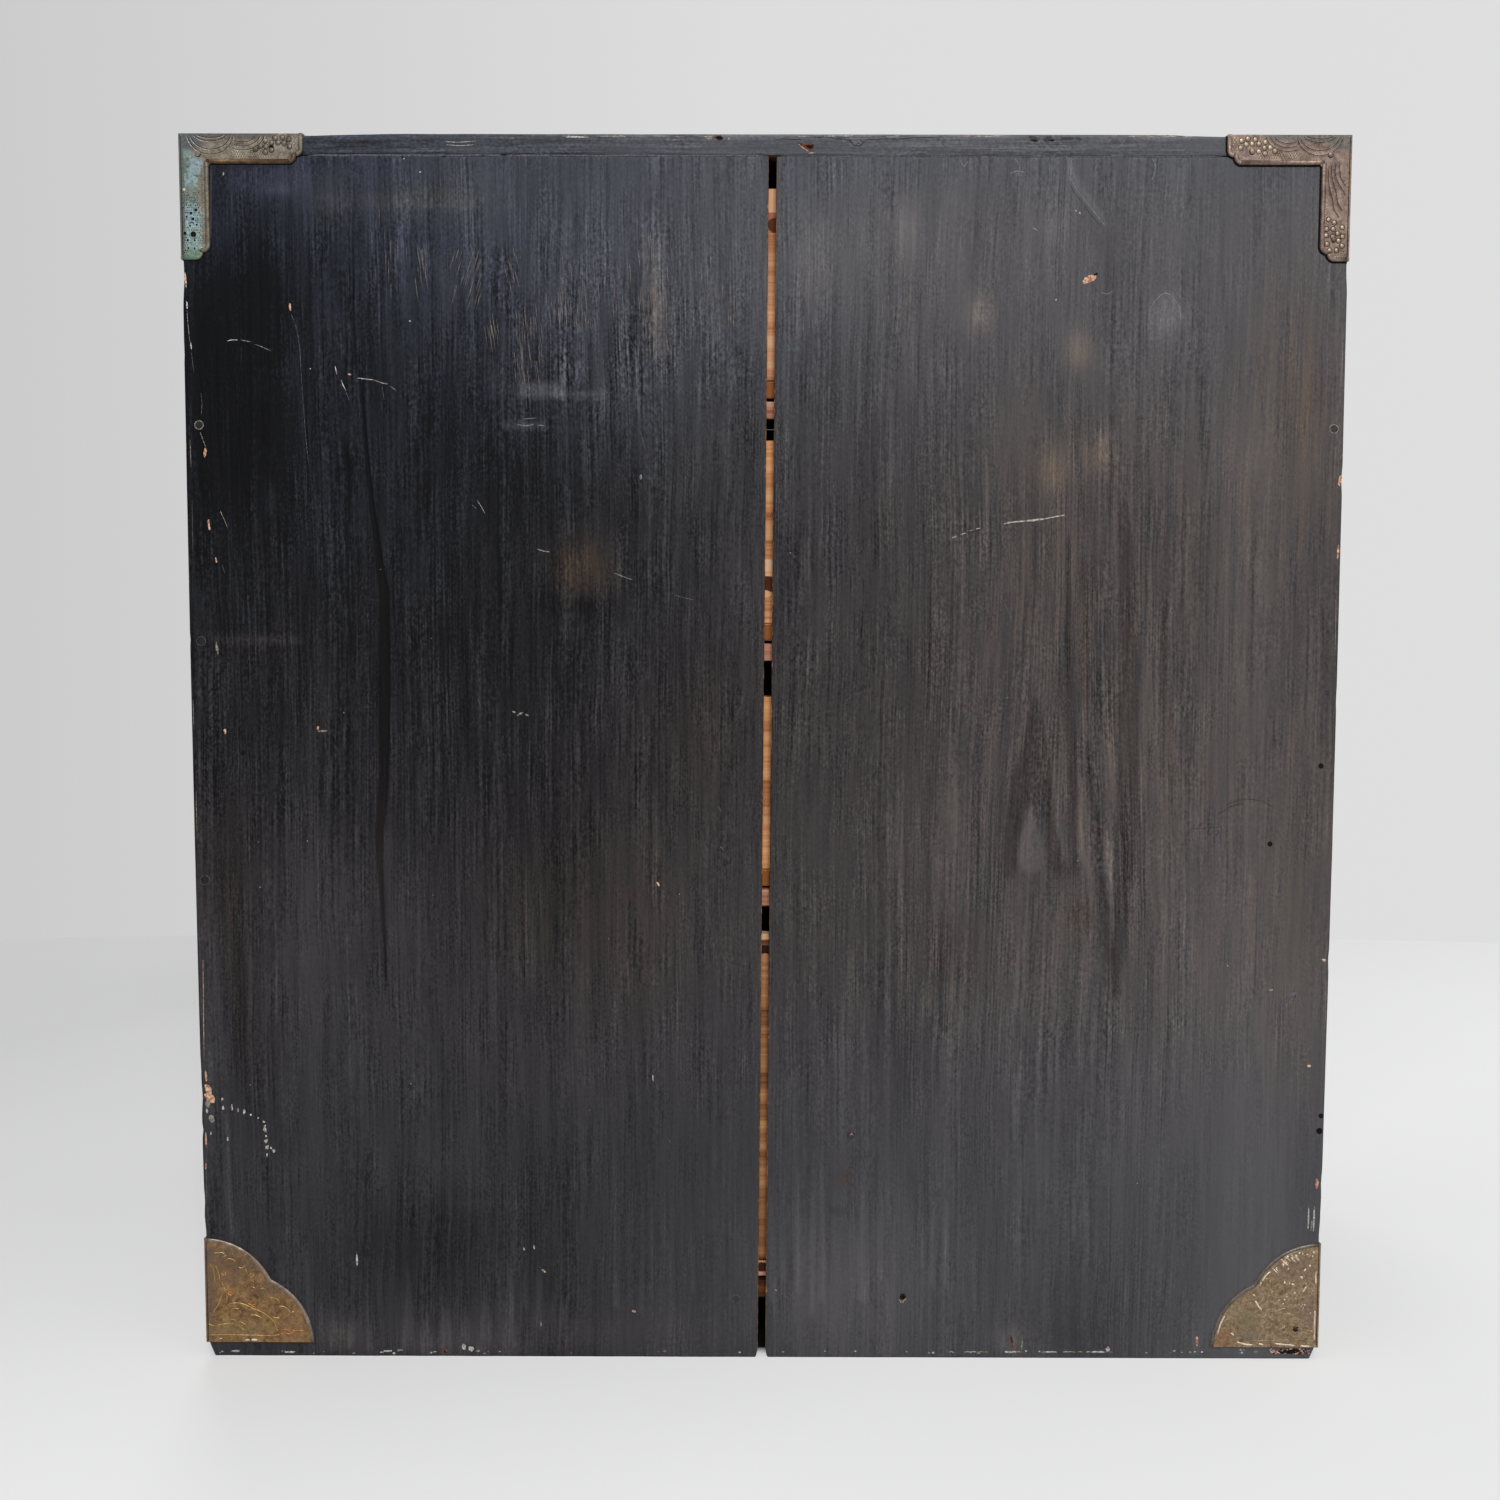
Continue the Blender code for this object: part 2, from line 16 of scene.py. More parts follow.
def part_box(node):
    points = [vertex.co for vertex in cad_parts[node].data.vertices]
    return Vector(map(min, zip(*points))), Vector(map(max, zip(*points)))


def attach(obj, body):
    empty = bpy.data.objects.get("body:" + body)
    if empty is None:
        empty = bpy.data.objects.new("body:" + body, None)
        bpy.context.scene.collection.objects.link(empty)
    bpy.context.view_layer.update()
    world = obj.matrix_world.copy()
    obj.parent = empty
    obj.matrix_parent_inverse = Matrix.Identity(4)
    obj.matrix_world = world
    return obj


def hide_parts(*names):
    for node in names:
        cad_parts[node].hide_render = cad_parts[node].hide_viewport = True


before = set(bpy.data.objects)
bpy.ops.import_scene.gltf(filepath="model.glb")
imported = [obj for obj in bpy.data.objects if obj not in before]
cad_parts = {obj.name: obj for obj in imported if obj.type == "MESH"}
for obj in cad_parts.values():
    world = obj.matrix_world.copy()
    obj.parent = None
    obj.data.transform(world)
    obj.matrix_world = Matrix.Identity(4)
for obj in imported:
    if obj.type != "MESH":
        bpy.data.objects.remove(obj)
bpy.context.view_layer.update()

MM = 0.001
BACK_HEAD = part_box("back_board_right")[1]
TOP_LOW, TOP_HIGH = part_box("top_board")
BACK_Y, FRONT_Y, SIDE_X = BACK_HEAD.y, TOP_LOW.y, BACK_HEAD.x
# the lacquered slab of a drawer front, in mm
FRONT_SLAB = 6.0
TIERS = ("deep", "lower", "upper", "top")
SIDES = (("left", -1), ("right", 1))
# the ways that grain runs, as axes
WIDTHWISE, DEPTHWISE, UPRIGHT = range(3)

# The camera, worked out from the chest's corners in the photograph
PHOTO_SIDE = 1500
PHOTO_FOCAL = 2500
SENSOR_MM = 36.0
CAMERA_AT = Vector((0.0017, BACK_Y + 0.982, 0.360))
CAMERA_DOWN = radians(6.48)
CAMERA_TURN = radians(-0.208)
CAMERA_ROLL = radians(0.105)


def camera_axes():
    """The camera's right, up and forward directions."""
    forward = Vector((
        -sin(CAMERA_TURN) * cos(CAMERA_DOWN),
        -cos(CAMERA_TURN) * cos(CAMERA_DOWN),
        -sin(CAMERA_DOWN),
    ))
    level = Vector((-cos(CAMERA_TURN), sin(CAMERA_TURN), 0))
    rise = level.cross(forward)
    right = cos(CAMERA_ROLL) * level + sin(CAMERA_ROLL) * rise
    up = cos(CAMERA_ROLL) * rise - sin(CAMERA_ROLL) * level
    return right, up, forward


RIGHT_WAY, UP_WAY, VIEW_WAY = camera_axes()


def set_camera():
    """A camera that sees the back as the photograph does."""
    lens = bpy.data.cameras.new("camera")
    lens.sensor_width = SENSOR_MM
    lens.lens = SENSOR_MM * PHOTO_FOCAL / PHOTO_SIDE
    made = bpy.data.objects.new("camera", lens)
    bpy.context.scene.collection.objects.link(made)
    turned = Matrix((RIGHT_WAY, UP_WAY, -VIEW_WAY)).transposed()
    made.matrix_world = Matrix.Translation(CAMERA_AT) @ turned.to_4x4()
    bpy.context.scene.camera = made


def on_back(px, py):
    """The place on the back that the photograph shows at a pixel, as x and z."""
    ray = VIEW_WAY + (RIGHT_WAY * (px - PHOTO_SIDE / 2) - UP_WAY * (py - PHOTO_SIDE / 2)) / PHOTO_FOCAL
    place = CAMERA_AT + ray * ((BACK_Y - CAMERA_AT.y) / ray.y)
    return place.x, place.z


def photo_pixels(points):
    """Where points of the back fall in the photograph."""
    away = points - np.array(CAMERA_AT)
    depth = away @ np.array(VIEW_WAY)
    px = PHOTO_SIDE / 2 + PHOTO_FOCAL * (away @ np.array(RIGHT_WAY)) / depth
    py = PHOTO_SIDE / 2 - PHOTO_FOCAL * (away @ np.array(UP_WAY)) / depth
    return px, py


def paint(code):
    """An sRGB hex colour as the linear one that Blender's sockets hold."""
    shades = [int(code[place:place + 2], 16) / 255 for place in (1, 3, 5)]
    return [s / 12.92 if s <= 0.04045 else ((s + 0.055) / 1.055) ** 2.4 for s in shades] + [1.0]


def node(tree, kind, inputs=None, out=0, stops=None, **settings):
    """Adds a node with its settings, its links and values, and gives back one of its outputs."""
    made = tree.nodes.new("ShaderNode" + kind)
    for name, value in settings.items():
        setattr(made, name, value)
    for place, (at, code) in enumerate(stops or ()):
        ends = made.color_ramp.elements
        stop = ends[place] if place < len(ends) else ends.new(at)
        stop.position = at
        stop.color = paint(code)
    for socket, value in (inputs or {}).items():
        if isinstance(value, bpy.types.NodeSocket):
            tree.links.new(value, made.inputs[socket])
        else:
            made.inputs[socket].default_value = value
    return made.outputs[out] if len(made.outputs) else made


def bare_tree(name):
    """A new material with an empty node tree."""
    material = bpy.data.materials.new(name)
    material.use_nodes = True
    material.node_tree.nodes.clear()
    return material, material.node_tree


def per_mm(*sizes):
    """Texture scale, per metre, for a pattern whose features have these sizes in millimetres."""
    return [1 / (size * MM) for size in sizes]


# Materials


# streaks of the wiped lacquer: their sizes in mm across, between and along the grain, detail, roughness
LACQUER_STREAKS = (
    # growth lines under the coat
    ((0.9, 30, 100), 3.0, 0.6),
    # brush hairs, a little coarser than real ones so that they show
    ((0.75, 30, 16), 2.0, 0.6),
    # flecks across the grain, where the weave of the wiping rag shows
    ((0.9, 30, 1.4), 1.0, 0.6),
    # bands where the brush went over its own track
    ((3.4, 30, 45), 2.5, 0.6),
    # broad sweeps of the rag
    ((17, 60, 110), 2.0, 0.5),
    # dry patches of the rag, where the hairs stand out more
    ((9, 40, 22), 2.0, 0.5),
)
COAT_LEVELS = (0.02, 0.10, 0.14, 0.18, 0.28, 0.40, 0.60)
# grey where the coat is worn, blue-black where it lies thick, brown where it is rubbed
COATS = (
    ("#020203", "#0d0d0f", "#1b1b1e", "#27272a", "#424246", "#616165", "#939396"),
    ("#010205", "#090b12", "#161922", "#202531", "#3a4050", "#585f70", "#898f9e"),
    ("#040202", "#120d0b", "#211a16", "#302722", "#50443b", "#756454", "#a58f7b"),
)


def wiped_lacquer(name, fine, middle, broad, rough, gloss, bump):
    """Softwood under a thin black lacquer, brushed on and wiped along the grain.

    The brush leaves short paler hairs where the lacquer is thin, and knocks take the coat off. fine, middle
    and broad say how much the streaks of each width change the tone, gloss is the lacquer's shine.
    """
    material, tree = bare_tree(name)
    across, along, drift, tone, comb, warmth, knocked = (
        node(tree, "Attribute", out="Fac", attribute_name=kept)
        for kept in ("across", "along", "drift", "tone", "comb", "brown", "bare")
    )
    grain = node(tree, "CombineXYZ", {0: across, 1: drift, 2: along})
    lines, hairs, flecks, bands, sweeps, rag = (
        node(tree, "TexNoise", {
            "Vector": node(tree, "Mapping", {0: grain, 3: per_mm(*sizes)}),
            "Scale": 1.0, "Detail": detail, "Roughness": mix,
        })
        for sizes, detail, mix in LACQUER_STREAKS
    )
    dry = node(tree, "MapRange", {0: rag, 1: 0.35, 2: 0.7, 3: 0.4, 4: 1.5})
    combed = node(tree, "Math", {0: dry, 1: comb}, operation="MULTIPLY")
    # minus half of what the three streaks add, so that they lighten as much as they darken
    stroke_lift = -0.875
    for streak, weight in ((lines, 0.72), (hairs, 0.45), (flecks, 0.58)):
        stroke_lift = node(tree, "Math", {0: streak, 1: weight, 2: stroke_lift}, operation="MULTIPLY_ADD")
    stroke_dry = node(tree, "Math", {0: stroke_lift, 1: combed}, operation="MULTIPLY")
    with_strokes = node(tree, "Math", {0: stroke_dry, 1: fine, 2: tone}, operation="MULTIPLY_ADD")
    band_lift = node(tree, "Math", {0: bands, 1: -0.5}, operation="ADD")
    band_comb = node(tree, "Math", {0: band_lift, 1: comb}, operation="MULTIPLY")
    with_bands = node(tree, "Math", {0: band_comb, 1: middle, 2: with_strokes}, operation="MULTIPLY_ADD")
    sweep_lift = node(tree, "Math", {0: sweeps, 1: -0.5}, operation="ADD")
    level = node(tree, "Math", {0: sweep_lift, 1: broad, 2: with_bands}, operation="MULTIPLY_ADD")
    grey, blue, brown = (
        node(tree, "ValToRGB", {0: level}, stops=tuple(zip(COAT_LEVELS, shades))) for shades in COATS
    )
    cool = node(tree, "MapRange", {0: warmth, 1: 0.0, 2: -1.0})
    thick_coat = node(tree, "MixRGB", {0: cool, 1: grey, 2: blue})
    rub_grain = node(tree, "MapRange", {0: bands, 1: 0.3, 2: 0.7, 3: 0.65, 4: 1.2})
    rub = node(tree, "Math", {0: warmth, 1: rub_grain}, operation="MULTIPLY", use_clamp=True)
    coat = node(tree, "MixRGB", {0: rub, 1: thick_coat, 2: brown})
    # knocked edges: ragged at about 1.6 mm, with raw wood in them
    knock_place = node(tree, "TexCoord", out="Object")
    ragged = node(tree, "TexNoise", {"Vector": knock_place, "Scale": per_mm(1.6)[0], "Detail": 4.0})
    torn = node(tree, "Math", {0: knocked, 1: ragged}, operation="ADD")
    bare = node(tree, "MapRange", {0: torn, 1: 0.98, 2: 1.12})
    raw = node(tree, "ValToRGB", {0: hairs}, stops=((0.3, "#6d4630"), (0.55, "#a87952"), (0.75, "#cda37b")))
    colour = node(tree, "MixRGB", {0: bare, 1: coat, 2: raw})
    polish = node(tree, "MapRange", {0: hairs, 1: 0.3, 2: 0.75, 3: rough - 0.07, 4: rough + 0.1})
    dull = node(tree, "Math", {0: bare, 1: 0.25, 2: polish}, operation="MULTIPLY_ADD", use_clamp=True)
    relief = node(tree, "Math", {0: bands, 1: 1.4, 2: hairs}, operation="MULTIPLY_ADD")
    normal = node(tree, "Bump", {"Height": relief, "Strength": 1.0, "Distance": bump * MM})
    skin = node(tree, "BsdfPrincipled", {
        "Base Color": colour, "Roughness": dull, "Normal": normal, "Specular IOR Level": gloss,
    })
    node(tree, "OutputMaterial", {0: skin})
    return material


def from_spot(tree, place, x, z, half_x, half_z):
    """How far a place on the back lies from a spot's middle, 1 at its rim. The spot is given in mm."""
    spot = node(tree, "Mapping", {
        0: place, 1: (-x / half_x, 0, -z / half_z), 3: (1 / (half_x * MM), 0, 1 / (half_z * MM)),
    })
    return node(tree, "VectorMath", {0: spot}, out="Value", operation="LENGTH")


def bare_softwood(name, along_axis, shades, marks=(), coated_front=False, end_grain=None):
    """Bare planed cedar, darkened with age: soft orange bands and fine dark hairs along the grain.

    marks are soft pale and dark patches on a board's back: x, z, half width and half height in mm, and a
    colour.
    end_grain is the y where sawn ends show, and their darker colour.
    """
    material, tree = bare_tree(name)
    place = node(tree, "TexCoord", out="Object")
    hair_sizes = [0.9, 0.9, 0.9]
    hair_sizes[along_axis] = 130
    hair_place = node(tree, "Mapping", {0: place, 3: per_mm(*hair_sizes)})
    hairs = node(tree, "TexNoise", {"Vector": hair_place, "Scale": 1.0, "Detail": 3.0, "Roughness": 0.6})
    band_sizes = [4.5, 4.5, 4.5]
    band_sizes[along_axis] = 260
    band_place = node(tree, "Mapping", {0: place, 3: per_mm(*band_sizes)})
    bands = node(tree, "TexNoise", {"Vector": band_place, "Scale": 1.0, "Detail": 2.0, "Distortion": 0.3})
    level = node(tree, "Math", {0: hairs, 1: 0.55, 2: bands}, operation="MULTIPLY_ADD")
    wood = node(tree, "ValToRGB", {0: level}, stops=tuple(zip((0.5, 0.72, 0.85, 1.05), shades)))
    # handling grime in soft stains about 40 mm across
    stain = node(tree, "TexNoise", {"Vector": place, "Scale": per_mm(40)[0], "Detail": 3.0})
    dirty = node(tree, "MapRange", {0: stain, 1: 0.5, 2: 0.72, 3: 0.0, 4: 0.4})
    colour = node(tree, "MixRGB", {0: dirty, 1: wood, 2: paint(shades[0])})
    depth = node(tree, "SeparateXYZ", {0: place}, out="Y")
    if end_grain:
        sawn = node(tree, "MapRange", {0: depth, 1: end_grain[0] - 0.3 * MM, 2: end_grain[0] - 0.1 * MM})
        colour = node(tree, "MixRGB", {0: sawn, 1: colour, 2: paint(end_grain[1])})
    for x, z, half_x, half_z, mark in marks:
        reach = from_spot(tree, place, x, z, half_x, half_z)
        ragged = node(tree, "Math", {0: hairs, 1: 0.5, 2: reach}, operation="MULTIPLY_ADD")
        patch = node(tree, "MapRange", {0: ragged, 1: 1.35, 2: 1.15})
        colour = node(tree, "MixRGB", {0: patch, 1: colour, 2: paint(mark)})
    rough = node(tree, "MapRange", {0: hairs, 1: 0.3, 2: 0.7, 3: 0.6, 4: 0.8})
    if coated_front:
        coat = node(tree, "MapRange", {0: depth, 1: FRONT_Y + 0.8 * MM, 2: FRONT_Y + 0.4 * MM})
        black = node(tree, "ValToRGB", {0: hairs}, stops=((0.3, "#191717"), (0.7, "#393331")))
        colour = node(tree, "MixRGB", {0: coat, 1: colour, 2: black})
    normal = node(tree, "Bump", {"Height": level, "Strength": 1.0, "Distance": 0.05 * MM})
    skin = node(tree, "BsdfPrincipled", {
        "Base Color": colour, "Roughness": rough, "Normal": normal, "Specular IOR Level": 0.25,
    })
    node(tree, "OutputMaterial", {0: skin})
    return material


def old_brass(name, shades, rough, metal, crusts=(), cover=1.0, patch=4.5):
    """Sheet or cast brass gone brown with age: mottled tarnish, patch mm across, and fine dark pits.

    crusts are dull patches of verdigris or grime on the back: x and z of the middle, half width and half
    height in mm, and a colour. They are broken up at about 1 mm, and cover says how thickly they lie.
    """
    material, tree = bare_tree(name)
    place = node(tree, "TexCoord", out="Object")
    mottle = node(tree, "TexNoise", {
        "Vector": place, "Scale": per_mm(patch)[0], "Detail": 5.0, "Roughness": 0.65, "Distortion": 0.5,
    })
    colour = node(tree, "ValToRGB", {0: mottle}, stops=tuple(zip((0.3, 0.46, 0.58, 0.72), shades)))
    # pits and rubbed grains of about 0.8 mm, coarser than real ones so that they show
    pits = node(tree, "TexNoise", {"Vector": place, "Scale": per_mm(0.8)[0], "Detail": 3.0})
    pitted = node(tree, "MapRange", {0: pits, 1: 0.42, 2: 0.3, 3: 0.0, 4: 0.6})
    colour = node(tree, "MixRGB", {0: pitted, 1: colour, 2: paint(shades[0])})
    rubbed = node(tree, "MapRange", {0: pits, 1: 0.56, 2: 0.7, 3: 0.0, 4: 0.6})
    colour = node(tree, "MixRGB", {0: rubbed, 1: colour, 2: paint(shades[3])})
    shine = metal
    if crusts:
        bloom = node(tree, "TexNoise", {
            "Vector": place, "Scale": per_mm(1.2)[0], "Detail": 5.0, "Roughness": 0.7,
        })
        covered = None
        for x, z, half_x, half_z, crust in crusts:
            reach = from_spot(tree, place, x, z, half_x, half_z)
            ragged = node(tree, "Math", {0: bloom, 1: -2.2, 2: reach}, operation="MULTIPLY_ADD")
            share = node(tree, "MapRange", {0: ragged, 1: 1.4 - cover, 2: cover - 1.15, 4: cover})
            colour = node(tree, "MixRGB", {0: share, 1: colour, 2: paint(crust)})
            covered = node(tree, "Math", {0: covered, 1: share}, operation="MAXIMUM") if covered else share
        grainy = node(tree, "MapRange", {0: bloom, 1: 0.32, 2: 0.68, 3: 0.48, 4: 1.4})
        colour = node(tree, "MixRGB", {0: covered, 1: colour, 2: grainy}, blend_type="MULTIPLY")
        # the crust is darker in its own small hollows
        hollow = node(tree, "MapRange", {0: bloom, 1: 0.47, 2: 0.37, 3: 0.0, 4: 0.85})
        dark = node(tree, "Math", {0: hollow, 1: covered}, operation="MULTIPLY")
        colour = node(tree, "MixRGB", {0: dark, 1: colour, 2: paint("#39433d")})
        shine = node(tree, "MapRange", {0: covered, 1: 0.0, 2: 0.6, 3: metal, 4: 0.0})
    dull = node(tree, "MapRange", {0: mottle, 1: 0.3, 2: 0.7, 3: rough + 0.1, 4: rough - 0.08})
    normal = node(tree, "Bump", {"Height": pits, "Strength": 1.0, "Distance": 0.05 * MM})
    skin = node(tree, "BsdfPrincipled", {
        "Base Color": colour, "Roughness": dull, "Metallic": shine, "Normal": normal,
    })
    node(tree, "OutputMaterial", {0: skin})
    return material


def dry_speck(name, size, shades, rough):
    """Small dry spots: torn wood, chalky scrapes or caked dirt, broken up at the given size in mm."""
    material, tree = bare_tree(name)
    place = node(tree, "TexCoord", out="Object")
    grain = node(tree, "TexNoise", {"Vector": place, "Scale": per_mm(size)[0], "Detail": 4.0})
    colour = node(tree, "ValToRGB", {0: grain}, stops=tuple(zip((0.35, 0.5, 0.65), shades)))
    normal = node(tree, "Bump", {"Height": grain, "Strength": 1.0, "Distance": 0.1 * MM})
    skin = node(tree, "BsdfPrincipled", {
        "Base Color": colour, "Roughness": rough, "Normal": normal, "Specular IOR Level": 0.2,
    })
    node(tree, "OutputMaterial", {0: skin})
    return material


# lacquer: how much fine, middle and broad streaks show, roughness, gloss, height of the streaks in mm
BACK_LACQUER = wiped_lacquer("wiped_black_lacquer_back", 0.36, 0.13, 0.06, 0.52, 0.08, 0.05)
CASE_LACQUER = wiped_lacquer("wiped_black_lacquer_case", 0.22, 0.1, 0.05, 0.42, 0.2, 0.04)
FRONT_LACQUER = wiped_lacquer("rubbed_black_lacquer_fronts", 0.2, 0.1, 0.06, 0.3, 0.4, 0.02)
# cedar in the shades it shows in each place, from the dark hairs to the pale wood
CEDAR = ("#95593a", "#d18f66", "#e5a87c", "#f0be96")
ORANGE_CEDAR = ("#9a5b33", "#dc9560", "#f0ad73", "#f8c08a")
BROWN_CEDAR = ("#6a4023", "#a67047", "#bd8557", "#d09b6b")
GOLDEN_CEDAR = ("#a8683f", "#eda671", "#fcbd87", "#ffcf9e")
PINK_CEDAR = ("#8a5540", "#c88e70", "#d8a386", "#e4b79d")
DARK_CEDAR = ("#6d4630", "#a67653", "#bb8a64", "#cfa37d")
DRAWER_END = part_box("top_drawer_bottom")[1].y
DRAWER_BACKS = {
    "top": bare_softwood("aged_cedar_top_drawer_back", WIDTHWISE, CEDAR, (
        (0, 462.6, 60, 5.2, "#f0b68c"), (0, 456.6, 60, 1.6, "#b0705a"), (-4.4, 453.2, 3.6, 2.9, "#5a2a10"),
    )),
    "upper": bare_softwood("aged_cedar_upper_drawer_back", WIDTHWISE, GOLDEN_CEDAR, (
        (0, 321, 8, 2.4, "#f6c9a4"), (0, 313.5, 7, 3.2, "#4f250f"), (1, 309.6, 4, 1.6, "#f0b98e"),
    )),
    "lower": bare_softwood("aged_cedar_lower_drawer_back", WIDTHWISE, ORANGE_CEDAR),
    "deep": bare_softwood("aged_cedar_deep_drawer_back", WIDTHWISE, BROWN_CEDAR, (
        (0, 172.5, 12, 1.9, "#f0bd95"), (0, 165, 6, 3.4, "#2c1307"), (-1, 163, 2.2, 2.0, "#c98d63"),
        (0, 36, 9, 2.2, "#3a190b"),
    )),
}
DRAWER_X = bare_softwood("aged_bare_cedar_along_width", WIDTHWISE, CEDAR)
DRAWER_Y = bare_softwood("aged_bare_cedar_along_depth", DEPTHWISE, CEDAR)
DRAWER_FLOORS = bare_softwood("aged_bare_cedar_floors", DEPTHWISE, CEDAR, end_grain=(DRAWER_END, "#9c6030"))
DEEP_FLOOR = bare_softwood(
    "aged_bare_cedar_deep_floor", DEPTHWISE, CEDAR, ((0, 34.6, 60, 1.9, "#431c0d"),),
    end_grain=(DRAWER_END, "#dba587"),
)
# the bottom board: stained dark brown, and painted darker for the shade it lies in
BASE_CEDAR = bare_softwood(
    "smoked_bare_cedar_base", WIDTHWISE, ("#1d0e06", "#3f2110", "#56301a", "#7a4a29"), coated_front=True
)
SHELF_CEDAR = bare_softwood("aged_bare_cedar_shelves", WIDTHWISE, PINK_CEDAR, coated_front=True)
CASE_INSIDE = bare_softwood("aged_bare_cedar_case_inside", UPRIGHT, DARK_CEDAR)
# how far the fittings stand off the wood and how high the foot plates sit, in mm
SEAT = 0.3
PLATE_X, PLATE_Z = SIDE_X / MM + SEAT, TOP_HIGH.z / MM + SEAT
FOOT = 5.0


def corner_spots(hand, corner_z, way, spots):
    """Spots given in mm from a fitting's corner, as places on the back."""
    return tuple((hand * (PLATE_X - u), corner_z + way * v, *spot) for u, v, *spot in spots)


# verdigris on the upright of the top right fitting, grey grime at the corner and along the top
VERDIGRIS = corner_spots(1, PLATE_Z, -1, (
    (19, 0.5, 15, 1.2, "#4d4a44"), (1.9, 11.6, 1.9, 3.2, "#58695f"), (2.0, 6.2, 2.2, 2.4, "#778c84"),
    (5.9, 11.6, 2.0, 3.0, "#87979c"), (3.9, 17.4, 2.4, 3.0, "#80999a"), (3.6, 24.0, 2.9, 3.8, "#6a746b"),
    (4.0, 32.4, 3.2, 4.8, "#86a0a1"), (3.6, 40.8, 3.2, 4.2, "#829c97"), (3.0, 45.4, 3.4, 1.8, "#678170"),
    (3.6, 2.4, 5.0, 2.8, "#454b50"), (0.5, 23.0, 0.9, 22.0, "#4c5852"),
))
TOP_GRIME = corner_spots(-1, PLATE_Z, -1, (
    (14, 0.4, 16, 1.4, "#6b635d"), (3.2, 2.4, 3.8, 2.4, "#696159"), (1.4, 19, 1.5, 10.0, "#846b5c"),
))
# old brass: shades from dark to pale, roughness, how metallic it still is, crusts
BROWN_BRASS = old_brass(
    "tarnished_chased_brass_brown", ("#50443d", "#6c5c54", "#7e6d63", "#907c71"), 0.5, 0.75, TOP_GRIME
)
BROWN_RIM = old_brass("rubbed_brass_rim_brown", ("#4c3f38", "#6b5a51", "#7f6b60", "#967f74"), 0.45, 0.75)
GREEN_BRASS = old_brass(
    "tarnished_chased_brass_green", ("#453e36", "#655d51", "#777063", "#8a8174"), 0.5, 0.7, VERDIGRIS
)
GOLD_RIM = old_brass("rubbed_brass_rim_gold", ("#36281c", "#4d3b29", "#5e4730", "#735a40"), 0.45, 0.75)
# red-brown tarnish high on the right foot plate, orange towards its tip; a coppery tip on the left one
GOLD_TINTS = corner_spots(1, FOOT, 1, (
    # the first is a dark band along the plate's lower edge: painted shadow
    (17, 0.3, 15, 0.5, "#453c33"), (1, 22, 1.8, 19, "#5a4733"), (5, 37, 6, 2.6, "#5b473d"),
    (9, 30, 5.5, 4.5, "#684c31"), (16, 33, 6, 2.4, "#5e432f"), (26, 23.5, 4.5, 2.6, "#634730"),
    (2.2, 23, 1.8, 5.5, "#6c503a"), (35, 8, 3.2, 5.5, "#8a633b"), (15, 6.6, 7.5, 2.4, "#82693f"),
))
OLIVE_TINTS = corner_spots(-1, FOOT, 1, (
    (38, 3, 3.6, 3.4, "#8d5f3a"), (29, 23, 3.5, 2.2, "#80604c"), (28, 5, 4.2, 1.6, "#6d6353"),
    (4, 15, 2.6, 4.6, "#80675a"), (12, 34, 7.0, 4.5, "#7f6250"), (29, 12, 4.0, 3.0, "#776a47"),
))
GOLD_BRASS = old_brass(
    "tarnished_chased_brass_gold", ("#4f3c29", "#785c3e", "#906f48", "#a3865f"), 0.48, 0.75, GOLD_TINTS,
    cover=0.6, patch=3.0,
)
GOLD_LINE = old_brass("rubbed_brass_chasing", ("#7d6238", "#a08249", "#bd9f60", "#d8c086"), 0.42, 0.8)
HANDLE_BRASS = old_brass("tarnished_cast_brass", ("#4b3a26", "#7d643e", "#9c8050", "#b89a66"), 0.38, 0.9)
BEAD_BRASS = old_brass("rubbed_brass_beads", ("#685748", "#8d7b69", "#a1907c", "#b6a894"), 0.45, 0.7)
TAUPE_RIM = old_brass("rubbed_brass_rim_taupe", ("#474139", "#5e584f", "#6c665c", "#807a6e"), 0.45, 0.7)
GREEN_LINE = old_brass("rubbed_chasing_green", ("#585146", "#82796b", "#998f81", "#b0a799"), 0.45, 0.7)
GREY_RIM = old_brass("rubbed_brass_rim_grey", ("#5c5048", "#7d7067", "#8d8178", "#a0958b"), 0.42, 0.75)
OLIVE_BRASS = old_brass(
    "worn_smooth_brass", ("#5c4a39", "#826d55", "#958064", "#ae997e"), 0.46, 0.75, OLIVE_TINTS,
    cover=0.55, patch=1.8,
)
COPPER_RUB = old_brass("rubbed_coppery_brass", ("#7a4a2a", "#a8683e", "#c2834f", "#d7a273"), 0.42, 0.75)
BRIGHT_SCRAPE = old_brass("fresh_scrape_in_brass", ("#a08a6c", "#d3bfa2", "#ece0cb", "#f7f0e4"), 0.4, 0.6)
IRON_TACK = old_brass("blackened_iron_tack", ("#231e1b", "#3a322d", "#4f453e", "#6b5f55"), 0.5, 0.7)
# small dry marks: the size in mm at which each is broken up, its shades from dark to pale, its roughness
TORN_WOOD = dry_speck("torn_bare_wood", 0.8, ("#8d5a42", "#c8997a", "#e9c9ae"), 0.8)
CHALK = dry_speck("chalky_scrape", 0.6, ("#77736d", "#b3aea6", "#dedad2"), 0.85)
PALE_SCUFF = dry_speck("pale_scuffed_lacquer", 0.5, ("#57524e", "#837b73", "#b0a69a"), 0.7)
GREY_SCUFF = dry_speck("dull_scuffed_lacquer", 0.5, ("#3d3b3d", "#57545a", "#77747a"), 0.7)
RUST_CHIP = dry_speck("rust_red_torn_wood", 0.7, ("#33170d", "#5c2c17", "#8a5230"), 0.8)
# dirt in holes, and painted shade: in holes, round tacks, beside the plates' edges and under the top board's
# lip
HOLE_DIRT_AND_SHADE = dry_speck("dirt_in_a_hole", 0.7, ("#050404", "#0a0807", "#15100d"), 0.9)
DARK_LINE = dry_speck("dark_line_in_lacquer", 0.6, ("#2a2829", "#383536", "#474344"), 0.6)
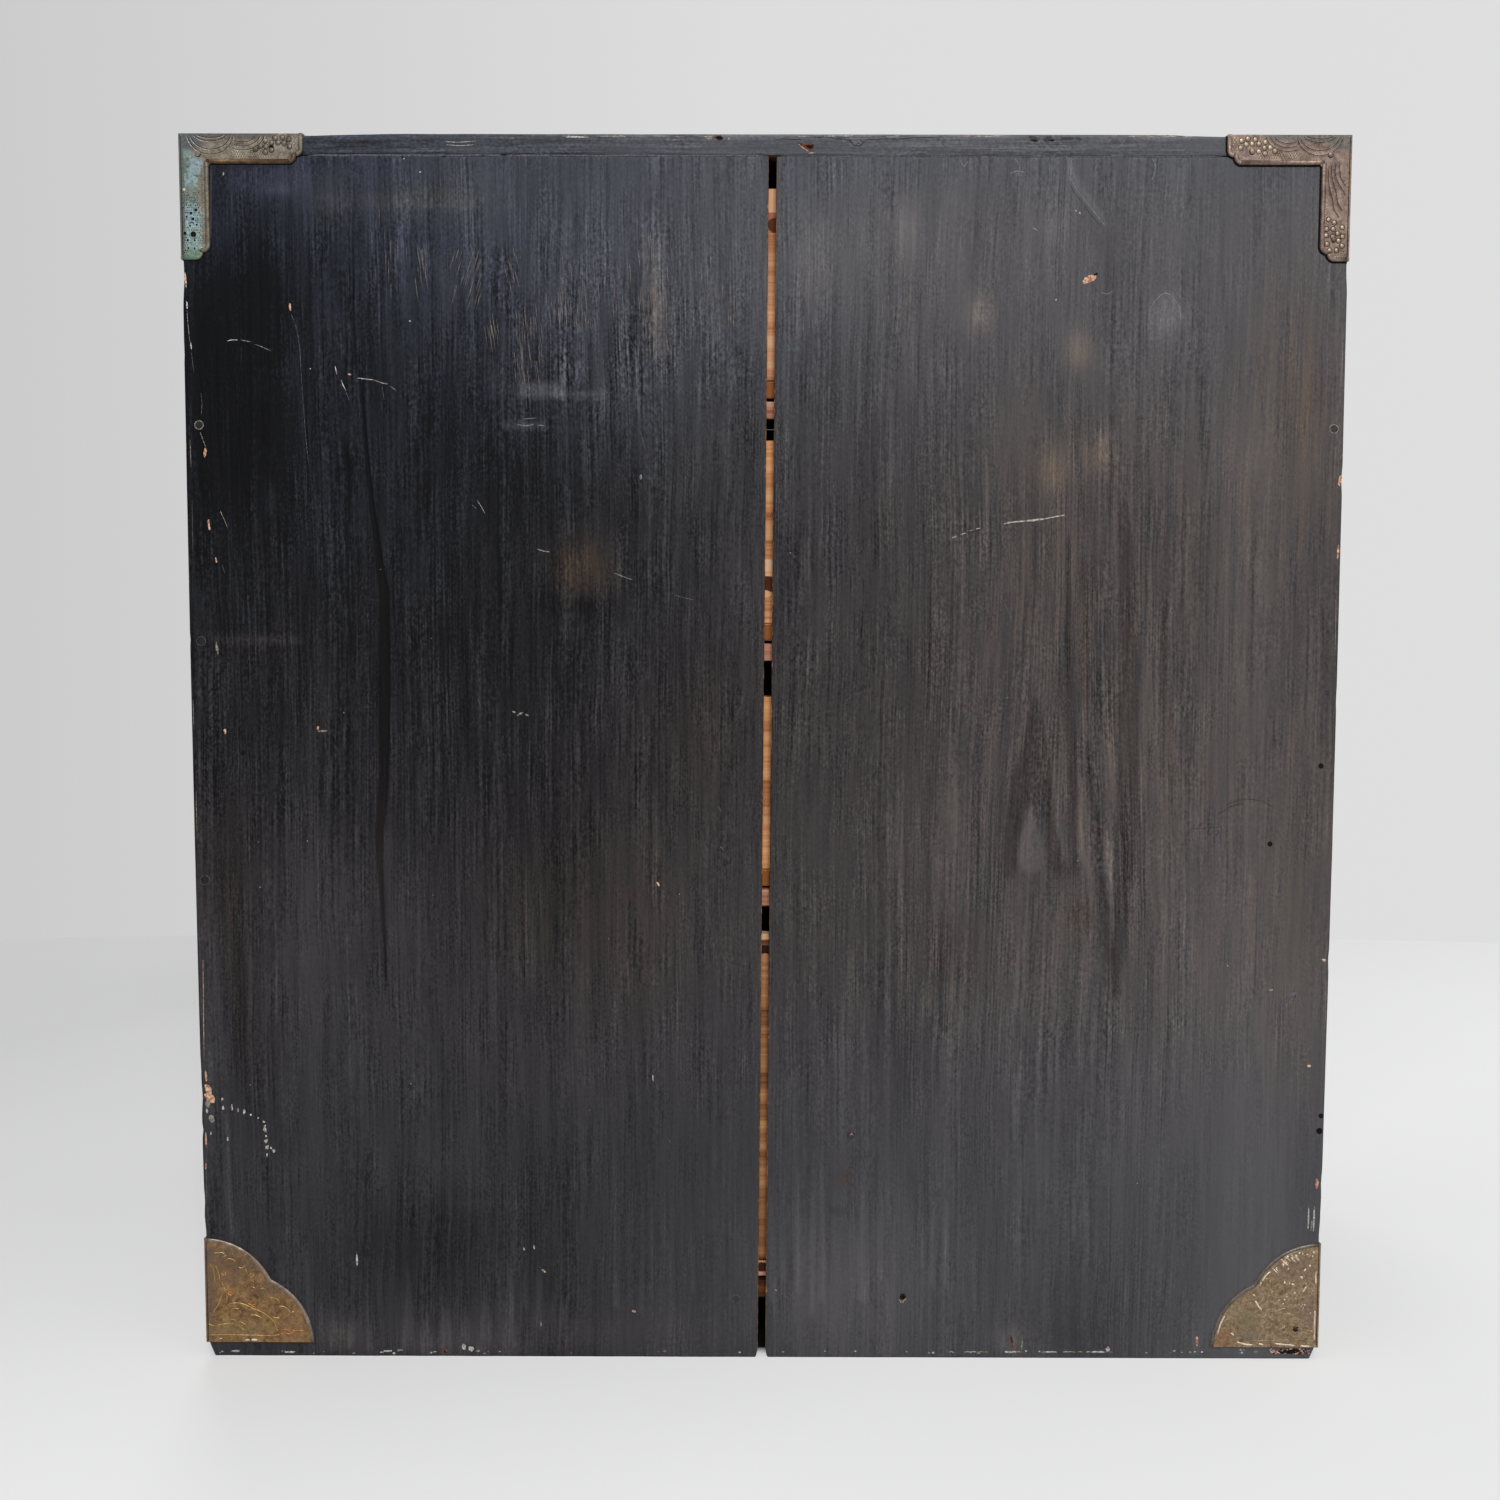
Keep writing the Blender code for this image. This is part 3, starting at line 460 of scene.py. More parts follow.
PEG_END = dry_speck("lacquered_peg_end", 0.7, ("#0d0c0e", "#19171a", "#292626"), 0.6)
DRY_HAIR = dry_speck("dry_brushed_hairs", 0.6, ("#554f4c", "#6f6660", "#877c74"), 0.7)
MILKY_SCUFF = dry_speck("milky_scuffed_lacquer", 0.6, ("#66656b", "#79787e", "#8e8d93"), 0.7)
# grime in the chasing, also used as painted shade along the folds and round the beads
CHASING_GRIME_AND_SHADE = dry_speck("grime_in_the_chasing", 0.5, ("#211c19", "#332b26", "#463c35"), 0.8)


# Boards


def stations(low, high, cell, ease):
    """Places along a board's edge: crowded where the edge is eased, about one cell apart between."""
    start = [0, 0.4 * ease, ease, 2.2 * ease]
    inner = (high - low) - 2 * start[-1]
    count = max(1, round(inner / cell))
    places = start[:-1] + [start[-1] + inner * step / count for step in range(count + 1)]
    places += [high - low - place for place in reversed(start[:-1])]
    return [low + place for place in places]


def lattice(cuts):
    """Points and faces of a box whose six faces are cut into cells at the given places."""
    counts = [len(places) for places in cuts]
    numbers = {}
    faces = []
    for axis in range(3):
        first, second = (axis + 1) % 3, (axis + 2) % 3
        for end in (0, counts[axis] - 1):
            for p in range(counts[first] - 1):
                for q in range(counts[second] - 1):
                    corners = []
                    for step_p, step_q in ((0, 0), (1, 0), (1, 1), (0, 1)):
                        key = [0, 0, 0]
                        key[axis] = end
                        key[first] = p + step_p
                        key[second] = q + step_q
                        corners.append(numbers.setdefault(tuple(key), len(numbers)))
                    faces.append(corners if end else corners[::-1])
    points = np.array([[cuts[axis][key[axis]] for axis in range(3)] for key in numbers])
    return points, faces


def held(value):
    """A share, held between 0 and 1."""
    return np.clip(value, 0, 1)


def mottle(points, size, seed):
    """Soft noise from -1 to 1 at each point, with features of the given size in millimetres."""
    shift = Vector((seed * 7.3, seed * 3.1, seed * 5.7))
    return np.array([noise.noise(Vector(p) / (size * MM) + shift) for p in points])


def finish_piece(name, mesh, materials, body, replaced=None):
    """Links a mesh as a piece that rides on a body, with its materials and the node it stands for."""
    made = bpy.data.objects.new(name, mesh)
    bpy.context.scene.collection.objects.link(made)
    for material in materials:
        mesh.materials.append(material)
    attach(made, body)
    if replaced:
        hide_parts(replaced)
    return made


def worn_board(
    node_name, cells, grain, ease, tone, materials, body, seed,
    extra=None, shape=None, inner_way=None, thick_y=None,
):
    """A board with eased, knocked edges that stands for a CAD node.

    cells are the sizes of its facets in mm along X, Y and Z, grain the axis its fibres run along, ease the
    rounding of its edges in mm, tone how pale its lacquer is and extra more places to cut it at. shape moves
    the points and colours of a board that has marks of its own. Faces that look along inner_way are bare
    wood, and thick_y keeps only that much of the front, in mm.
    """
    low, high = (np.array(corner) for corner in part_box(node_name))
    if thick_y:
        high[1] = low[1] + thick_y * MM
    cuts = [stations(low[axis], high[axis], cells[axis] * MM, ease * MM) for axis in range(3)]
    for axis, places in (extra or {}).items():
        cuts[axis] = sorted(set(cuts[axis]) | set(places))
    rest, faces = lattice(cuts)
    worn = ease * MM * (1.0 + 0.55 * mottle(rest, 14, seed))[:, None]
    inner = np.clip(rest, low + worn, high - worn)
    away = rest - inner
    reach = np.maximum(np.linalg.norm(away, axis=1), 1e-9)[:, None]
    points = inner + away / reach * np.minimum(worn, np.max(np.abs(away), axis=1)[:, None])
    gaps = np.sort(np.concatenate([np.abs(rest - low), np.abs(rest - high)], axis=1), axis=1)
    near_edge = held(1 - gaps[:, 1] / (1.6 * MM))
    knocks = mottle(rest, 9, seed + 1)
    across_axis = max((high[axis] - low[axis], axis) for axis in range(3) if axis != grain)[1]
    values = {
        "across": rest[:, across_axis] + 0.0016 * mottle(rest, 70, seed + 2) + seed * 0.11,
        "along": rest[:, grain] + seed * 0.07,
        "drift": rest[:, 3 - grain - across_axis],
        "tone": np.full(len(rest), tone) + 0.03 * mottle(rest, 60, seed + 3),
        "brown": held(0.12 + 0.3 * mottle(rest, 45, seed + 4)) + 0.35 * near_edge,
        "bare": near_edge * held(0.35 + 0.55 * knocks),
        "comb": np.ones(len(rest)),
    }
    if shape:
        points = shape(rest, points, values, low, high)
    mesh = bpy.data.meshes.new(node_name + "_worn")
    mesh.from_pydata(points.tolist(), [], faces)
    for name, numbers in values.items():
        kept = mesh.attributes.new(name, "FLOAT", "POINT")
        kept.data.foreach_set("value", np.asarray(numbers, np.float32))
    mesh.shade_smooth()
    if inner_way is not None:
        middles = np.empty((len(faces), 3), np.float32)
        normals = np.empty((len(faces), 3), np.float32)
        mesh.polygons.foreach_get("center", middles.ravel())
        mesh.polygons.foreach_get("normal", normals.ravel())
        from_arris = np.minimum(middles - low, high - middles) > 1.5 * MM
        clear = np.all(from_arris | (np.abs(inner_way) > 0.5), axis=1)
        inside = clear & (normals @ np.array(inner_way) > 0.8)
        mesh.polygons.foreach_set("material_index", inside.astype(np.int32))
    return finish_piece(node_name + "_worn", mesh, materials, body, node_name)


# Marks on the back, drawn in the photograph's pixels: 2.5 of them are about a millimetre


def cloud(px, py, x, y, wide, high):
    """A soft oval patch, 1 in its middle."""
    return np.exp(-1.6 * (((px - x) / wide) ** 2 + ((py - y) / high) ** 2))


def stroke(px, py, path, soft):
    """A drawn line through (x, y, half width) points: 1 inside it, fading over soft pixels."""
    best = np.zeros(len(px))
    for (ax, ay, a_half), (bx, by, b_half) in zip(path, path[1:]):
        run = (bx - ax) ** 2 + (by - ay) ** 2
        share = held(((px - ax) * (bx - ax) + (py - ay) * (by - ay)) / run)
        away = np.hypot(px - ax - share * (bx - ax), py - ay - share * (by - ay))
        half = a_half + share * (b_half - a_half)
        best = np.maximum(best, held((half + soft - away) / (2 * soft)))
    return best * best * (3 - 2 * best)


# the long crack in the right board: x, y, half width
CRACK = (
    (354, 190, 0.5), (353, 320, 0.7), (357, 365, 0.9), (362, 392, 1.1), (366, 440, 1.6), (372, 500, 2.2),
    (379, 552, 3.2), (385, 592, 5), (386, 690, 5.4), (385, 780, 5), (381, 832, 4.2), (381, 866, 3),
    (384, 905, 2), (389, 985, 0.8),
)
# x, y, half width, half height, lighter or darker, browner
CLOUDS = (
    (232, 390, 62, 160, -0.145, 0), (262, 305, 34, 75, -0.085, 0), (612, 350, 20, 50, -0.03, 0),
    (450, 1240, 140, 70, -0.03, 0), (575, 345, 45, 80, 0.03, 0), (582, 566, 44, 38, 0.05, 1.15),
    (588, 607, 34, 13, -0.05, 0), (548, 598, 18, 16, -0.03, 0), (270, 178, 80, 26, 0.035, 0),
    (218, 225, 20, 30, 0.03, 0), (806, 262, 30, 60, 0.06, 0.1), (900, 228, 18, 40, 0.085, 0.15),
    (1050, 228, 20, 26, 0.025, 0), (1105, 262, 28, 60, -0.028, 0), (655, 305, 14, 60, 0.05, 0.35),
    (668, 345, 22, 40, 0.025, 0.1), (902, 318, 9, 44, 0.03, 0.15), (975, 314, 18, 24, 0.09, 0.35),
    (1076, 350, 18, 26, 0.085, 0.4), (1051, 468, 18, 30, 0.085, 0.55), (1096, 455, 18, 26, 0.075, 0.5),
    (340, 345, 25, 50, 0.025, 0), (224, 676, 26, 40, 0.028, 0.1), (1295, 370, 60, 150, 0, 0.3),
    (560, 910, 80, 110, 0, 0.2), (640, 930, 60, 120, 0, 0.2), (232, 860, 40, 100, -0.015, 0.15),
    (1060, 560, 90, 140, 0, 0.1), (700, 740, 50, 120, 0, 0.15), (950, 850, 45, 170, 0.02, 0),
    (1165, 318, 18, 24, 0.09, 0), (330, 206, 30, 26, 0.03, 0.6), (440, 196, 55, 24, 0.02, 0.55),
    (385, 205, 40, 20, 0.01, 0.4), (1180, 900, 60, 120, 0.02, 0), (308, 910, 36, 140, 0.035, 0),
    (850, 1290, 130, 120, 0.07, 0.05), (830, 1110, 90, 90, 0.018, 0), (1080, 1300, 90, 110, -0.03, 0),
    (670, 1330, 90, 30, 0.018, 0.05), (1290, 960, 40, 200, 0, 0.1), (380, 880, 60, 60, 0.022, 0),
    (255, 1040, 34, 130, -0.045, 0.05), (950, 955, 26, 50, -0.035, 0.1), (345, 1335, 26, 22, 0.085, 0.2),
    (1300, 630, 60, 110, -0.02, 0), (1300, 1170, 50, 130, -0.02, 0), (290, 184, 60, 18, 0.03, 0),
    (440, 1338, 70, 20, 0.025, 0.05), (580, 1335, 50, 20, 0.025, 0.05), (1060, 1335, 50, 30, -0.025, 0),
    (435, 1160, 60, 50, 0.025, 0), (1152, 775, 28, 90, 0.026, 0.05), (900, 815, 20, 80, 0.028, 0),
    (1078, 917, 18, 18, -0.03, 0.5), (845, 1178, 10, 12, -0.02, 0.5), (205, 330, 30, 60, -0.02, 0),
    (1010, 1338, 26, 14, 0.04, 0.2), (850, 260, 240, 130, 0.018, 0.1), (540, 1070, 170, 60, 0.014, 0.05),
    (540, 1330, 200, 30, 0.018, 0.05), (565, 146, 50, 9, 0.03, 0), (905, 146, 60, 9, -0.03, 0),
)
# path of x, y and half width, softness, lighter or darker, browner
STROKES = (
    (((346, 446, 2), (349, 462, 4), (353, 474, 2)), 2, -0.07, 0),
    (((339, 464, 1.5), (340, 480, 2.5)), 2, -0.07, 0),
    (((414, 632, 2), (417, 645, 3), (414, 660, 2)), 2, -0.06, 0.2),
    (((218, 640, 5), (260, 640, 6), (300, 639, 3)), 4, 0.055, 0.35),
    (((246, 192, 1), (290, 191, 1.2)), 1.4, 0.075, 0), (((254, 188.5, 0.8), (286, 188, 1)), 1.4, 0.05, 0),
    (((302, 204, 1.5), (478, 206, 1)), 1.5, 0.05, 0),
    (((318, 198, 1), (440, 196, 2), (482, 197, 1)), 2, 0.04, 0.2),
    (((524, 391, 6), (558, 391, 6.5)), 1.8, 0.12, 0.1), (((560, 396, 3.5), (604, 396, 3.5)), 2.5, 0.075, 0),
    (((505, 425, 2), (520, 424, 3.5), (545, 425, 3)), 3, 0.1, 0),
    (((466, 391, 2), (500, 390, 3), (519, 391, 3)), 3, 0.02, 0),
    (((638, 388, 2), (680, 387, 3), (720, 388, 2)), 3, 0.015, 0),
    (((555, 364, 1), (575, 365, 2.5), (593, 365, 1)), 2.5, 0.02, 0),
    (((1066, 160, 2), (1070, 180, 4), (1086, 201, 4), (1105, 226, 2.5)), 3, 0.055, 0),
    (((1150, 314, 1), (1166, 294, 1.5), (1181, 316, 1)), 2, 0.045, 0),
    (((1031, 806, 0.8), (1029, 828, 8), (1028, 850, 15), (1030, 862, 12)), 3, 0.06, 0),
    (((1054, 790, 1), (1058, 830, 3), (1062, 862, 2)), 2, 0.03, 0),
    (((1066, 540, 2), (1068, 640, 4), (1069, 720, 4.5), (1071, 800, 3.5), (1073, 866, 3)), 1.8, -0.055, 0.1),
    (((1122, 500, 4), (1127, 600, 9), (1127, 700, 10), (1127, 780, 9.5), (1125, 850, 10), (1121, 910, 7),
     (1116, 960, 6), (1114, 994, 5.5)), 2.2, -0.05, 0.1),
    (((1085, 742, 1), (1090, 790, 3), (1097, 838, 4.5), (1098, 880, 4.5), (1105, 922, 5),
     (1110, 960, 5)), 1.8, -0.045, 0.12),
    (((1081, 560, 3), (1082, 640, 6), (1083, 700, 3)), 2.5, -0.03, 0.15),
    (((1089, 655, 0.6), (1094, 690, 1.2), (1098, 710, 0.6)), 1.2, 0.05, 0),
    (((1083, 774, 0.6), (1081, 820, 5), (1083, 850, 7), (1088, 876, 1)), 1.6, 0.05, 0.1),
    (((1104, 700, 0.6), (1110, 750, 3.5), (1112, 800, 2.5), (1113, 812, 0.6)), 1.6, 0.04, 0.05),
    (((1106, 836, 0.8), (1107, 860, 5), (1110, 884, 1)), 1.6, 0.05, 0.05),
    (((1050, 864, 6), (1060, 872, 9), (1075, 872, 4)), 4, -0.03, 0.1),
    (((829, 1150, 1), (829, 1230, 2), (829, 1285, 2)), 1.8, -0.03, 0),
    (((790, 1245, 1), (791, 1270, 3), (792, 1286, 2)), 1.8, -0.03, 0),
    (((832, 1211, 2.5), (845, 1211, 2.5)), 1.6, -0.03, 0),
    (((1160, 520, 2), (1164, 700, 4), (1172, 840, 3)), 4, -0.02, 0.15),
    (((930, 700, 1), (934, 850, 3), (930, 1010, 2)), 3, 0.025, 0.1),
    (((950, 740, 2), (957, 880, 5), (952, 1010, 2)), 4, 0.03, 0),
    (((974, 700, 1), (978, 860, 2), (974, 1000, 1)), 3, -0.03, 0),
    (((925, 600, 1), (926, 800, 1.5), (924, 1080, 1)), 2, -0.04, 0.1),
    (((910, 620, 1), (906, 800, 2), (904, 1080, 1)), 3, -0.03, 0.1),
    (((1150, 560, 2), (1147, 660, 4), (1150, 740, 2)), 4, 0.03, 0.05),
    (((230, 860, 4), (233, 960, 8), (240, 1060, 4)), 6, -0.015, 0.2),
    (((252, 960, 2), (250, 1040, 3), (252, 1090, 2)), 3, 0.04, 0.2),
    (((229, 1130, 1.4), (230, 1190, 2.4), (232, 1236, 2.4)), 2, 0.055, 0.1),
    (((646, 255, 3), (655, 300, 6), (664, 360, 3)), 6, 0.025, 0.2),
    (((430, 250, 3), (450, 290, 6), (446, 330, 3)), 6, 0.03, 0.25),
    (((532, 230, 2), (540, 290, 5), (560, 380, 3)), 6, 0.03, 0.1),
    (((1310, 300, 2), (1306, 420, 4), (1300, 560, 2)), 5, 0.02, 0.25),
    (((416, 1178, 1), (436, 1200, 2), (516, 1206, 3)), 4, 0.02, 0),
    (((271, 488, 2), (271, 500, 4), (270, 510, 2)), 2.5, 0.05, 0),
    (((291, 352, 2), (291, 375, 4.5), (293, 391, 2)), 3, 0.045, 0),
    (((222, 316, 3), (228, 322, 3)), 3, 0.05, 0.2),
)
# the dark tent figure in the left board's grain
TENT = (
    ((1031, 697, 1), (1026, 740, 5), (1017, 790, 8), (1011, 832, 9), (1007, 872, 6)),
    ((1034, 698, 1), (1041, 742, 5), (1046, 790, 5), (1050, 835, 5), (1058, 864, 8)),
    ((1032, 700, 2), (1033, 745, 9), (1034, 785, 13), (1033, 803, 5)),
)
# paler runs where the lacquer stops short of the foot: x, top, half width at the foot, foot
LACQUER_RUNS = (
    (309, 1250, 1.6, 1340), (322, 1302, 2, 1344), (335, 1304, 4, 1346), (352, 1316, 3, 1348),
    (372, 1326, 4, 1348), (411, 1272, 6.5, 1346), (430, 1316, 8, 1348), (449, 1304, 8, 1348),
    (470, 1310, 8, 1348), (490, 1298, 9, 1348), (514, 1266, 7, 1348), (530, 1262, 1.6, 1308),
    (544, 1266, 4.5, 1322), (557, 1296, 2, 1320), (568, 1304, 3, 1322), (622, 1270, 3, 1306),
    (637, 1190, 1.6, 1304), (648, 1170, 2.2, 1312), (658, 1180, 1.4, 1300), (1004, 1330, 3, 1350),
    (1014, 1322, 3, 1350), (1196, 1328, 2.5, 1350), (1226, 1322, 2.5, 1348), (771, 1180, 1.6, 1300),
    (783, 1190, 1.6, 1280), (799, 1175, 2, 1290), (813, 1150, 3.5, 1310), (822, 1150, 2.5, 1300),
    (862, 1165, 4, 1300), (880, 1180, 2, 1280), (922, 1190, 1.6, 1262), (933, 1205, 2, 1285),
    (946, 1200, 2, 1285), (974, 1240, 2, 1310), (1074, 1182, 1.6, 1236), (700, 1215, 1.6, 1290),
)


def broad_tone_and_sheen(px, py):
    """Darker towards the photograph's left and a paler band below the top, which are painted sheen; paler
    again at the foot.
    """
    # painted sheen: the lacquer is painted darker towards the photograph's left and paler towards its right
    broad = np.interp(
        px, (230, 450, 560, 680, 800, 920, 1040, 1300),
        (0.145, 0.13, 0.14, 0.19, 0.225, 0.262, 0.295, 0.305),
    )
    # painted sheen: a paler band below the top, fading out further down
    sheen_band = np.interp(
        px, (215, 330, 450, 700, 920, 1050, 1250), (0.03, 0.11, 0.145, 0.115, 0.08, 0.05, 0.05)
    )
    sheen_band_foot = np.interp(px, (300, 560, 700, 1000), (250, 400, 440, 420))
    tone = broad + sheen_band * held((sheen_band_foot + 90 - py) / 260)
    tone += 0.06 * held((py - 640) / 300) * held((900 - px) / 400)
    tone += 0.025 * held((py - 780) / 230)
    tone += 0.04 * held((py - 380) / 80) * np.exp(-(((px - 1255) / 55) ** 2))
    return tone


def broad_warmth(px, py):
    """Blue-black at the upper left, neutral in the middle, brown to the right."""
    left_warmth = np.interp(
        py, (150, 230, 350, 600, 720, 900, 1060, 1160, 1345),
        (-0.7, -0.75, -0.5, -0.15, 0.1, 0.18, 0.1, 0.03, 0.08),
    )
    right_warmth = np.interp(
        py, (150, 230, 350, 500, 700, 950, 1090, 1200, 1345),
        (-0.28, -0.1, 0.14, 0.36, 0.38, 0.33, 0.14, 0.03, 0.05),
    )
    to_right = np.interp(px, (450, 700, 1000), (0, 0.55, 1))
    brown = left_warmth + (right_warmth - left_warmth) * to_right
    return brown + 0.2 * held((330 - py) / 110) * held((px - 380) / 80)


def brush_comb(px, py):
    """The brush hairs stand out most in the pale band of painted sheen, least near the foot and the
    photograph's right.
    """
    comb = 1 + 0.9 * cloud(px, py, 610, 330, 190, 100) + 0.2 * cloud(px, py, 1090, 790, 90, 200)
    comb -= 0.2 * held((py - 760) / 100) * held((900 - px) / 100)
    comb -= 0.45 * held((py - 1040) / 110) * np.clip((px - 380) / 500, 0.35, 1)
    comb -= 0.3 * held((px - 1180) / 50)
    return comb - 0.2 * cloud(px, py, 980, 270, 300, 150)


def back_marks(rest, values):
    """Colours the back: the broad tone, the drawn marks, the crack and the way the grain runs."""
    px, py = photo_pixels(rest)
    tone, brown, comb = broad_tone_and_sheen(px, py), broad_warmth(px, py), brush_comb(px, py)
    for x, y, wide, high, lift, rub in CLOUDS:
        patch = cloud(px, py, x, y, wide, high)
        tone += lift * patch
        brown += rub * patch
    for path, soft, lift, rub in STROKES:
        drawn = stroke(px, py, path, soft)
        tone += lift * drawn
        brown += rub * drawn
    tent = np.max([stroke(px, py, path, 1.8) for path in TENT], axis=0)
    tone -= 0.045 * tent
    brown += 0.1 * tent
    for x, top, half, foot in LACQUER_RUNS:
        path = ((x, top, 0.4), (x, 0.6 * top + 0.4 * foot, 0.6 * half), (x, foot, half))
        drawn = stroke(px, py, path, 2.2)
        tone += 0.05 * drawn
        brown += 0.06 * drawn
    cut = stroke(px, py, CRACK, 1.1)
    tone -= 0.06 * cut
    brown += 0.3 * cut * held((py - 480) / 120)
    outer = rest[:, 1] > BACK_Y - 1.5 * MM
    values["tone"] = np.where(outer, np.clip(tone, 0.05, 0.5), 0.16)
    values["brown"] = np.clip(brown, -1, 1)
    values["comb"] = np.clip(comb * (1 - 0.6 * cut), 0.2, 2)
    # the grain fans out a little downwards round the dark tongue on the left board, and wanders everywhere
    heart_x, heart_z = on_back(1062, 760)
    aside = rest[:, 0] - heart_x
    fan = 0.3 * np.exp(-((aside / 0.024) ** 2)) * np.tanh((rest[:, 2] - heart_z) / 0.05)
    wander = 0.0022 * mottle(rest * np.array((1, 1, 0.5)), 60, 12) + 0.0004 * mottle(rest, 16, 13)
    values["across"] = rest[:, 0] + aside * fan + wander
    values["drift"] = rest[:, 0]
    return cut


# what is broken off the outer edge of the right (1) and the left (-1) board: y, half height, depth in mm
KNOCKS = {
    1: (
        (285, 14, 0.4), (352, 6, 0.2), (640, 5, 0.2), (1070, 10, 0.2), (1096, 13, 0.5), (1130, 5, 0.4),
        (1200, 9, 0.3),
    ),
    -1: ((480, 10, 0.4), (700, 8, 0.2), (960, 7, 0.3), (1183, 9, 0.3), (1215, 14, 0.2)),
}


def back_shape(rest, points, values, low, high):
    """Leans the slit edge, sinks the crack and lets the outer edge wander where it is knocked."""
    cut = back_marks(rest, values)
    hand = 1 if high[0] > 0.1 else -1
    outer_x, inner_x = (high[0], low[0]) if hand > 0 else (low[0], high[0])
    rise = rest[:, 2] / high[2]
    slit_edge = (1.7 if hand > 0 else -1.3) * MM - 3.3 * MM * rise
    lean = (slit_edge - inner_x) * (outer_x - rest[:, 0]) / (outer_x - inner_x)
    points = points.copy()
    points[:, 0] += lean
    # the slit opens at the foot, where both boards are broken away
    split = held(1 - rest[:, 2] / (3 * MM)) ** 1.2
    split *= held(1 - np.abs(rest[:, 0] - inner_x) / (4 * MM))
    points[:, 0] += hand * 0.9 * MM * split
    outer_face = rest[:, 1] > BACK_Y - 0.5 * MM
    ripple = 0.05 * (0.5 + 0.5 * np.sin(values["across"] * 1900 + 2 * np.sin(values["across"] * 430)))
    points[:, 1] -= outer_face * (0.45 * cut + ripple) * MM
    # raw brown wood on the sawn edges of the slit
    sawn = held(1 - np.abs(rest[:, 0] - inner_x) / (0.7 * MM))
    # knocked outer edge, and the corner worn away below the fitting
    py = photo_pixels(rest)[1]
    edge = held(1 - np.abs(rest[:, 0] - outer_x) / (9 * MM))
    bites = sum(deep * np.exp(-((py - y) / reach) ** 2) for y, reach, deep in KNOCKS[hand])
    points[:, 0] -= hand * edge ** 3 * bites * MM
    # between its fittings the board bows out a little past the side
    share = held((rest[:, 2] - 52 * MM) / (382 * MM))
    bow = (0.45 + 0.48 * np.sin(np.pi * share)) * held(np.minimum(share, 1 - share) / 0.016)
    points[:, 0] += hand * edge * bow * MM
    corner = held(1 - rest[:, 2] / (5.2 * MM)) ** 0.6
    corner *= held(1 - np.abs(rest[:, 0] - outer_x) / (14 * MM)) ** 2
    points[:, 0] -= hand * 2.6 * MM * corner
    foot = held(1 - rest[:, 2] / (1.6 * MM))
    values["bare"] = held(values["bare"] * 0.9 + 0.5 * edge ** 6 * held(bites))
    values["bare"] = np.where(foot > 0, 0.3 * values["bare"], values["bare"])
    values["bare"] = np.maximum(values["bare"], (0.5 + 0.2 * mottle(rest, 8, 31)) * sawn)
    values["brown"] = np.where(sawn > 0, np.maximum(values["brown"], sawn), values["brown"])
    # the end under the top board is not knocked
    values["bare"] = np.where(rest[:, 2] > high[2] - 1.6 * MM, 0, values["bare"])
    return points


def top_shape(rest, points, values, low, high):
    """The back edge of the top board shares the back's tone; its upper arris is rubbed through."""
    inner_across = values["across"].copy()
    plain = values["tone"].copy()
    plain_warmth = values["brown"].copy()
    back_marks(rest, values)
    on_edge = rest[:, 1] > BACK_Y - 1.0 * MM
    values["across"] = np.where(on_edge, rest[:, 2], inner_across)
    values["along"] = rest[:, 0]
    values["drift"] = rest[:, 1]
    values["comb"] = np.where(on_edge, 2.0 * values["comb"], 1)
    arris = held((rest[:, 2] - high[2] + 1.5 * MM) / (1.0 * MM)) * on_edge
    scuffed = arris * held(0.55 + 0.9 * mottle(rest, 22, 77))
    scuffed *= np.interp(
        photo_pixels(rest)[0], (300, 400, 540, 600, 1000, 1025, 1090, 1130),
        (0.5, 0.15, 0.15, 0.9, 0.8, 0, 0, 0.8),
    )
    values["tone"] = np.where(on_edge, values["tone"] - 0.03 + 0.17 * scuffed, plain)
    values["brown"] = np.where(on_edge, values["brown"] + 0.3 * scuffed, plain_warmth)
    values["bare"] = np.where(on_edge, 0.3 * scuffed, values["bare"] * 0.8)
    # the board has cupped: its back edge stands up a little between the two fittings
    between = held((175 * MM - np.abs(rest[:, 0])) / (30 * MM))
    near_edge = held(1 - (BACK_Y - rest[:, 1]) / (14 * MM))
    upper = held((rest[:, 2] - high[2] + 4 * MM) / (4 * MM))
    points = points.copy()
    points[:, 2] += 0.75 * MM * between * near_edge * upper
    return points


def front_shape(rest, points, values, low, high):
    """A drawer front is rubbed paler where fingers reach behind the bail, and along its upper edge."""
    middle = low[2] + 0.55 * (high[2] - low[2])
    rub = np.exp(-((rest[:, 0] / 0.062) ** 2) - ((rest[:, 2] - middle) / 0.022) ** 2)
    rub += 0.5 * held(1 - (high[2] - rest[:, 2]) / (6 * MM))
    rub *= held(0.55 + 0.8 * mottle(rest, 14, 91))
    values["tone"] = values["tone"] + 0.06 * rub
    values["brown"] = values["brown"] + 0.4 * rub
    # the arrises are rubbed through only here and there
    values["bare"] = values["bare"] * held(0.1 + 1.5 * mottle(rest, 35, 92))
    return points


# closer cuts where the crack and the tent figure lie
CRACK_BAND = [on_back(x, 600)[0] for x in np.arange(335, 398, 1.0)]
TENT_BAND = [on_back(x, 800)[0] for x in np.arange(998, 1142, 1.6)]
# facets of a back board, in mm
BACK_CELLS = (1.3, 4.0, 3.0)


def finish_node(name, wood):
    """Gives a piece that keeps its CAD shape its wood."""
    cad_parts[name].material_slots[0].material = wood


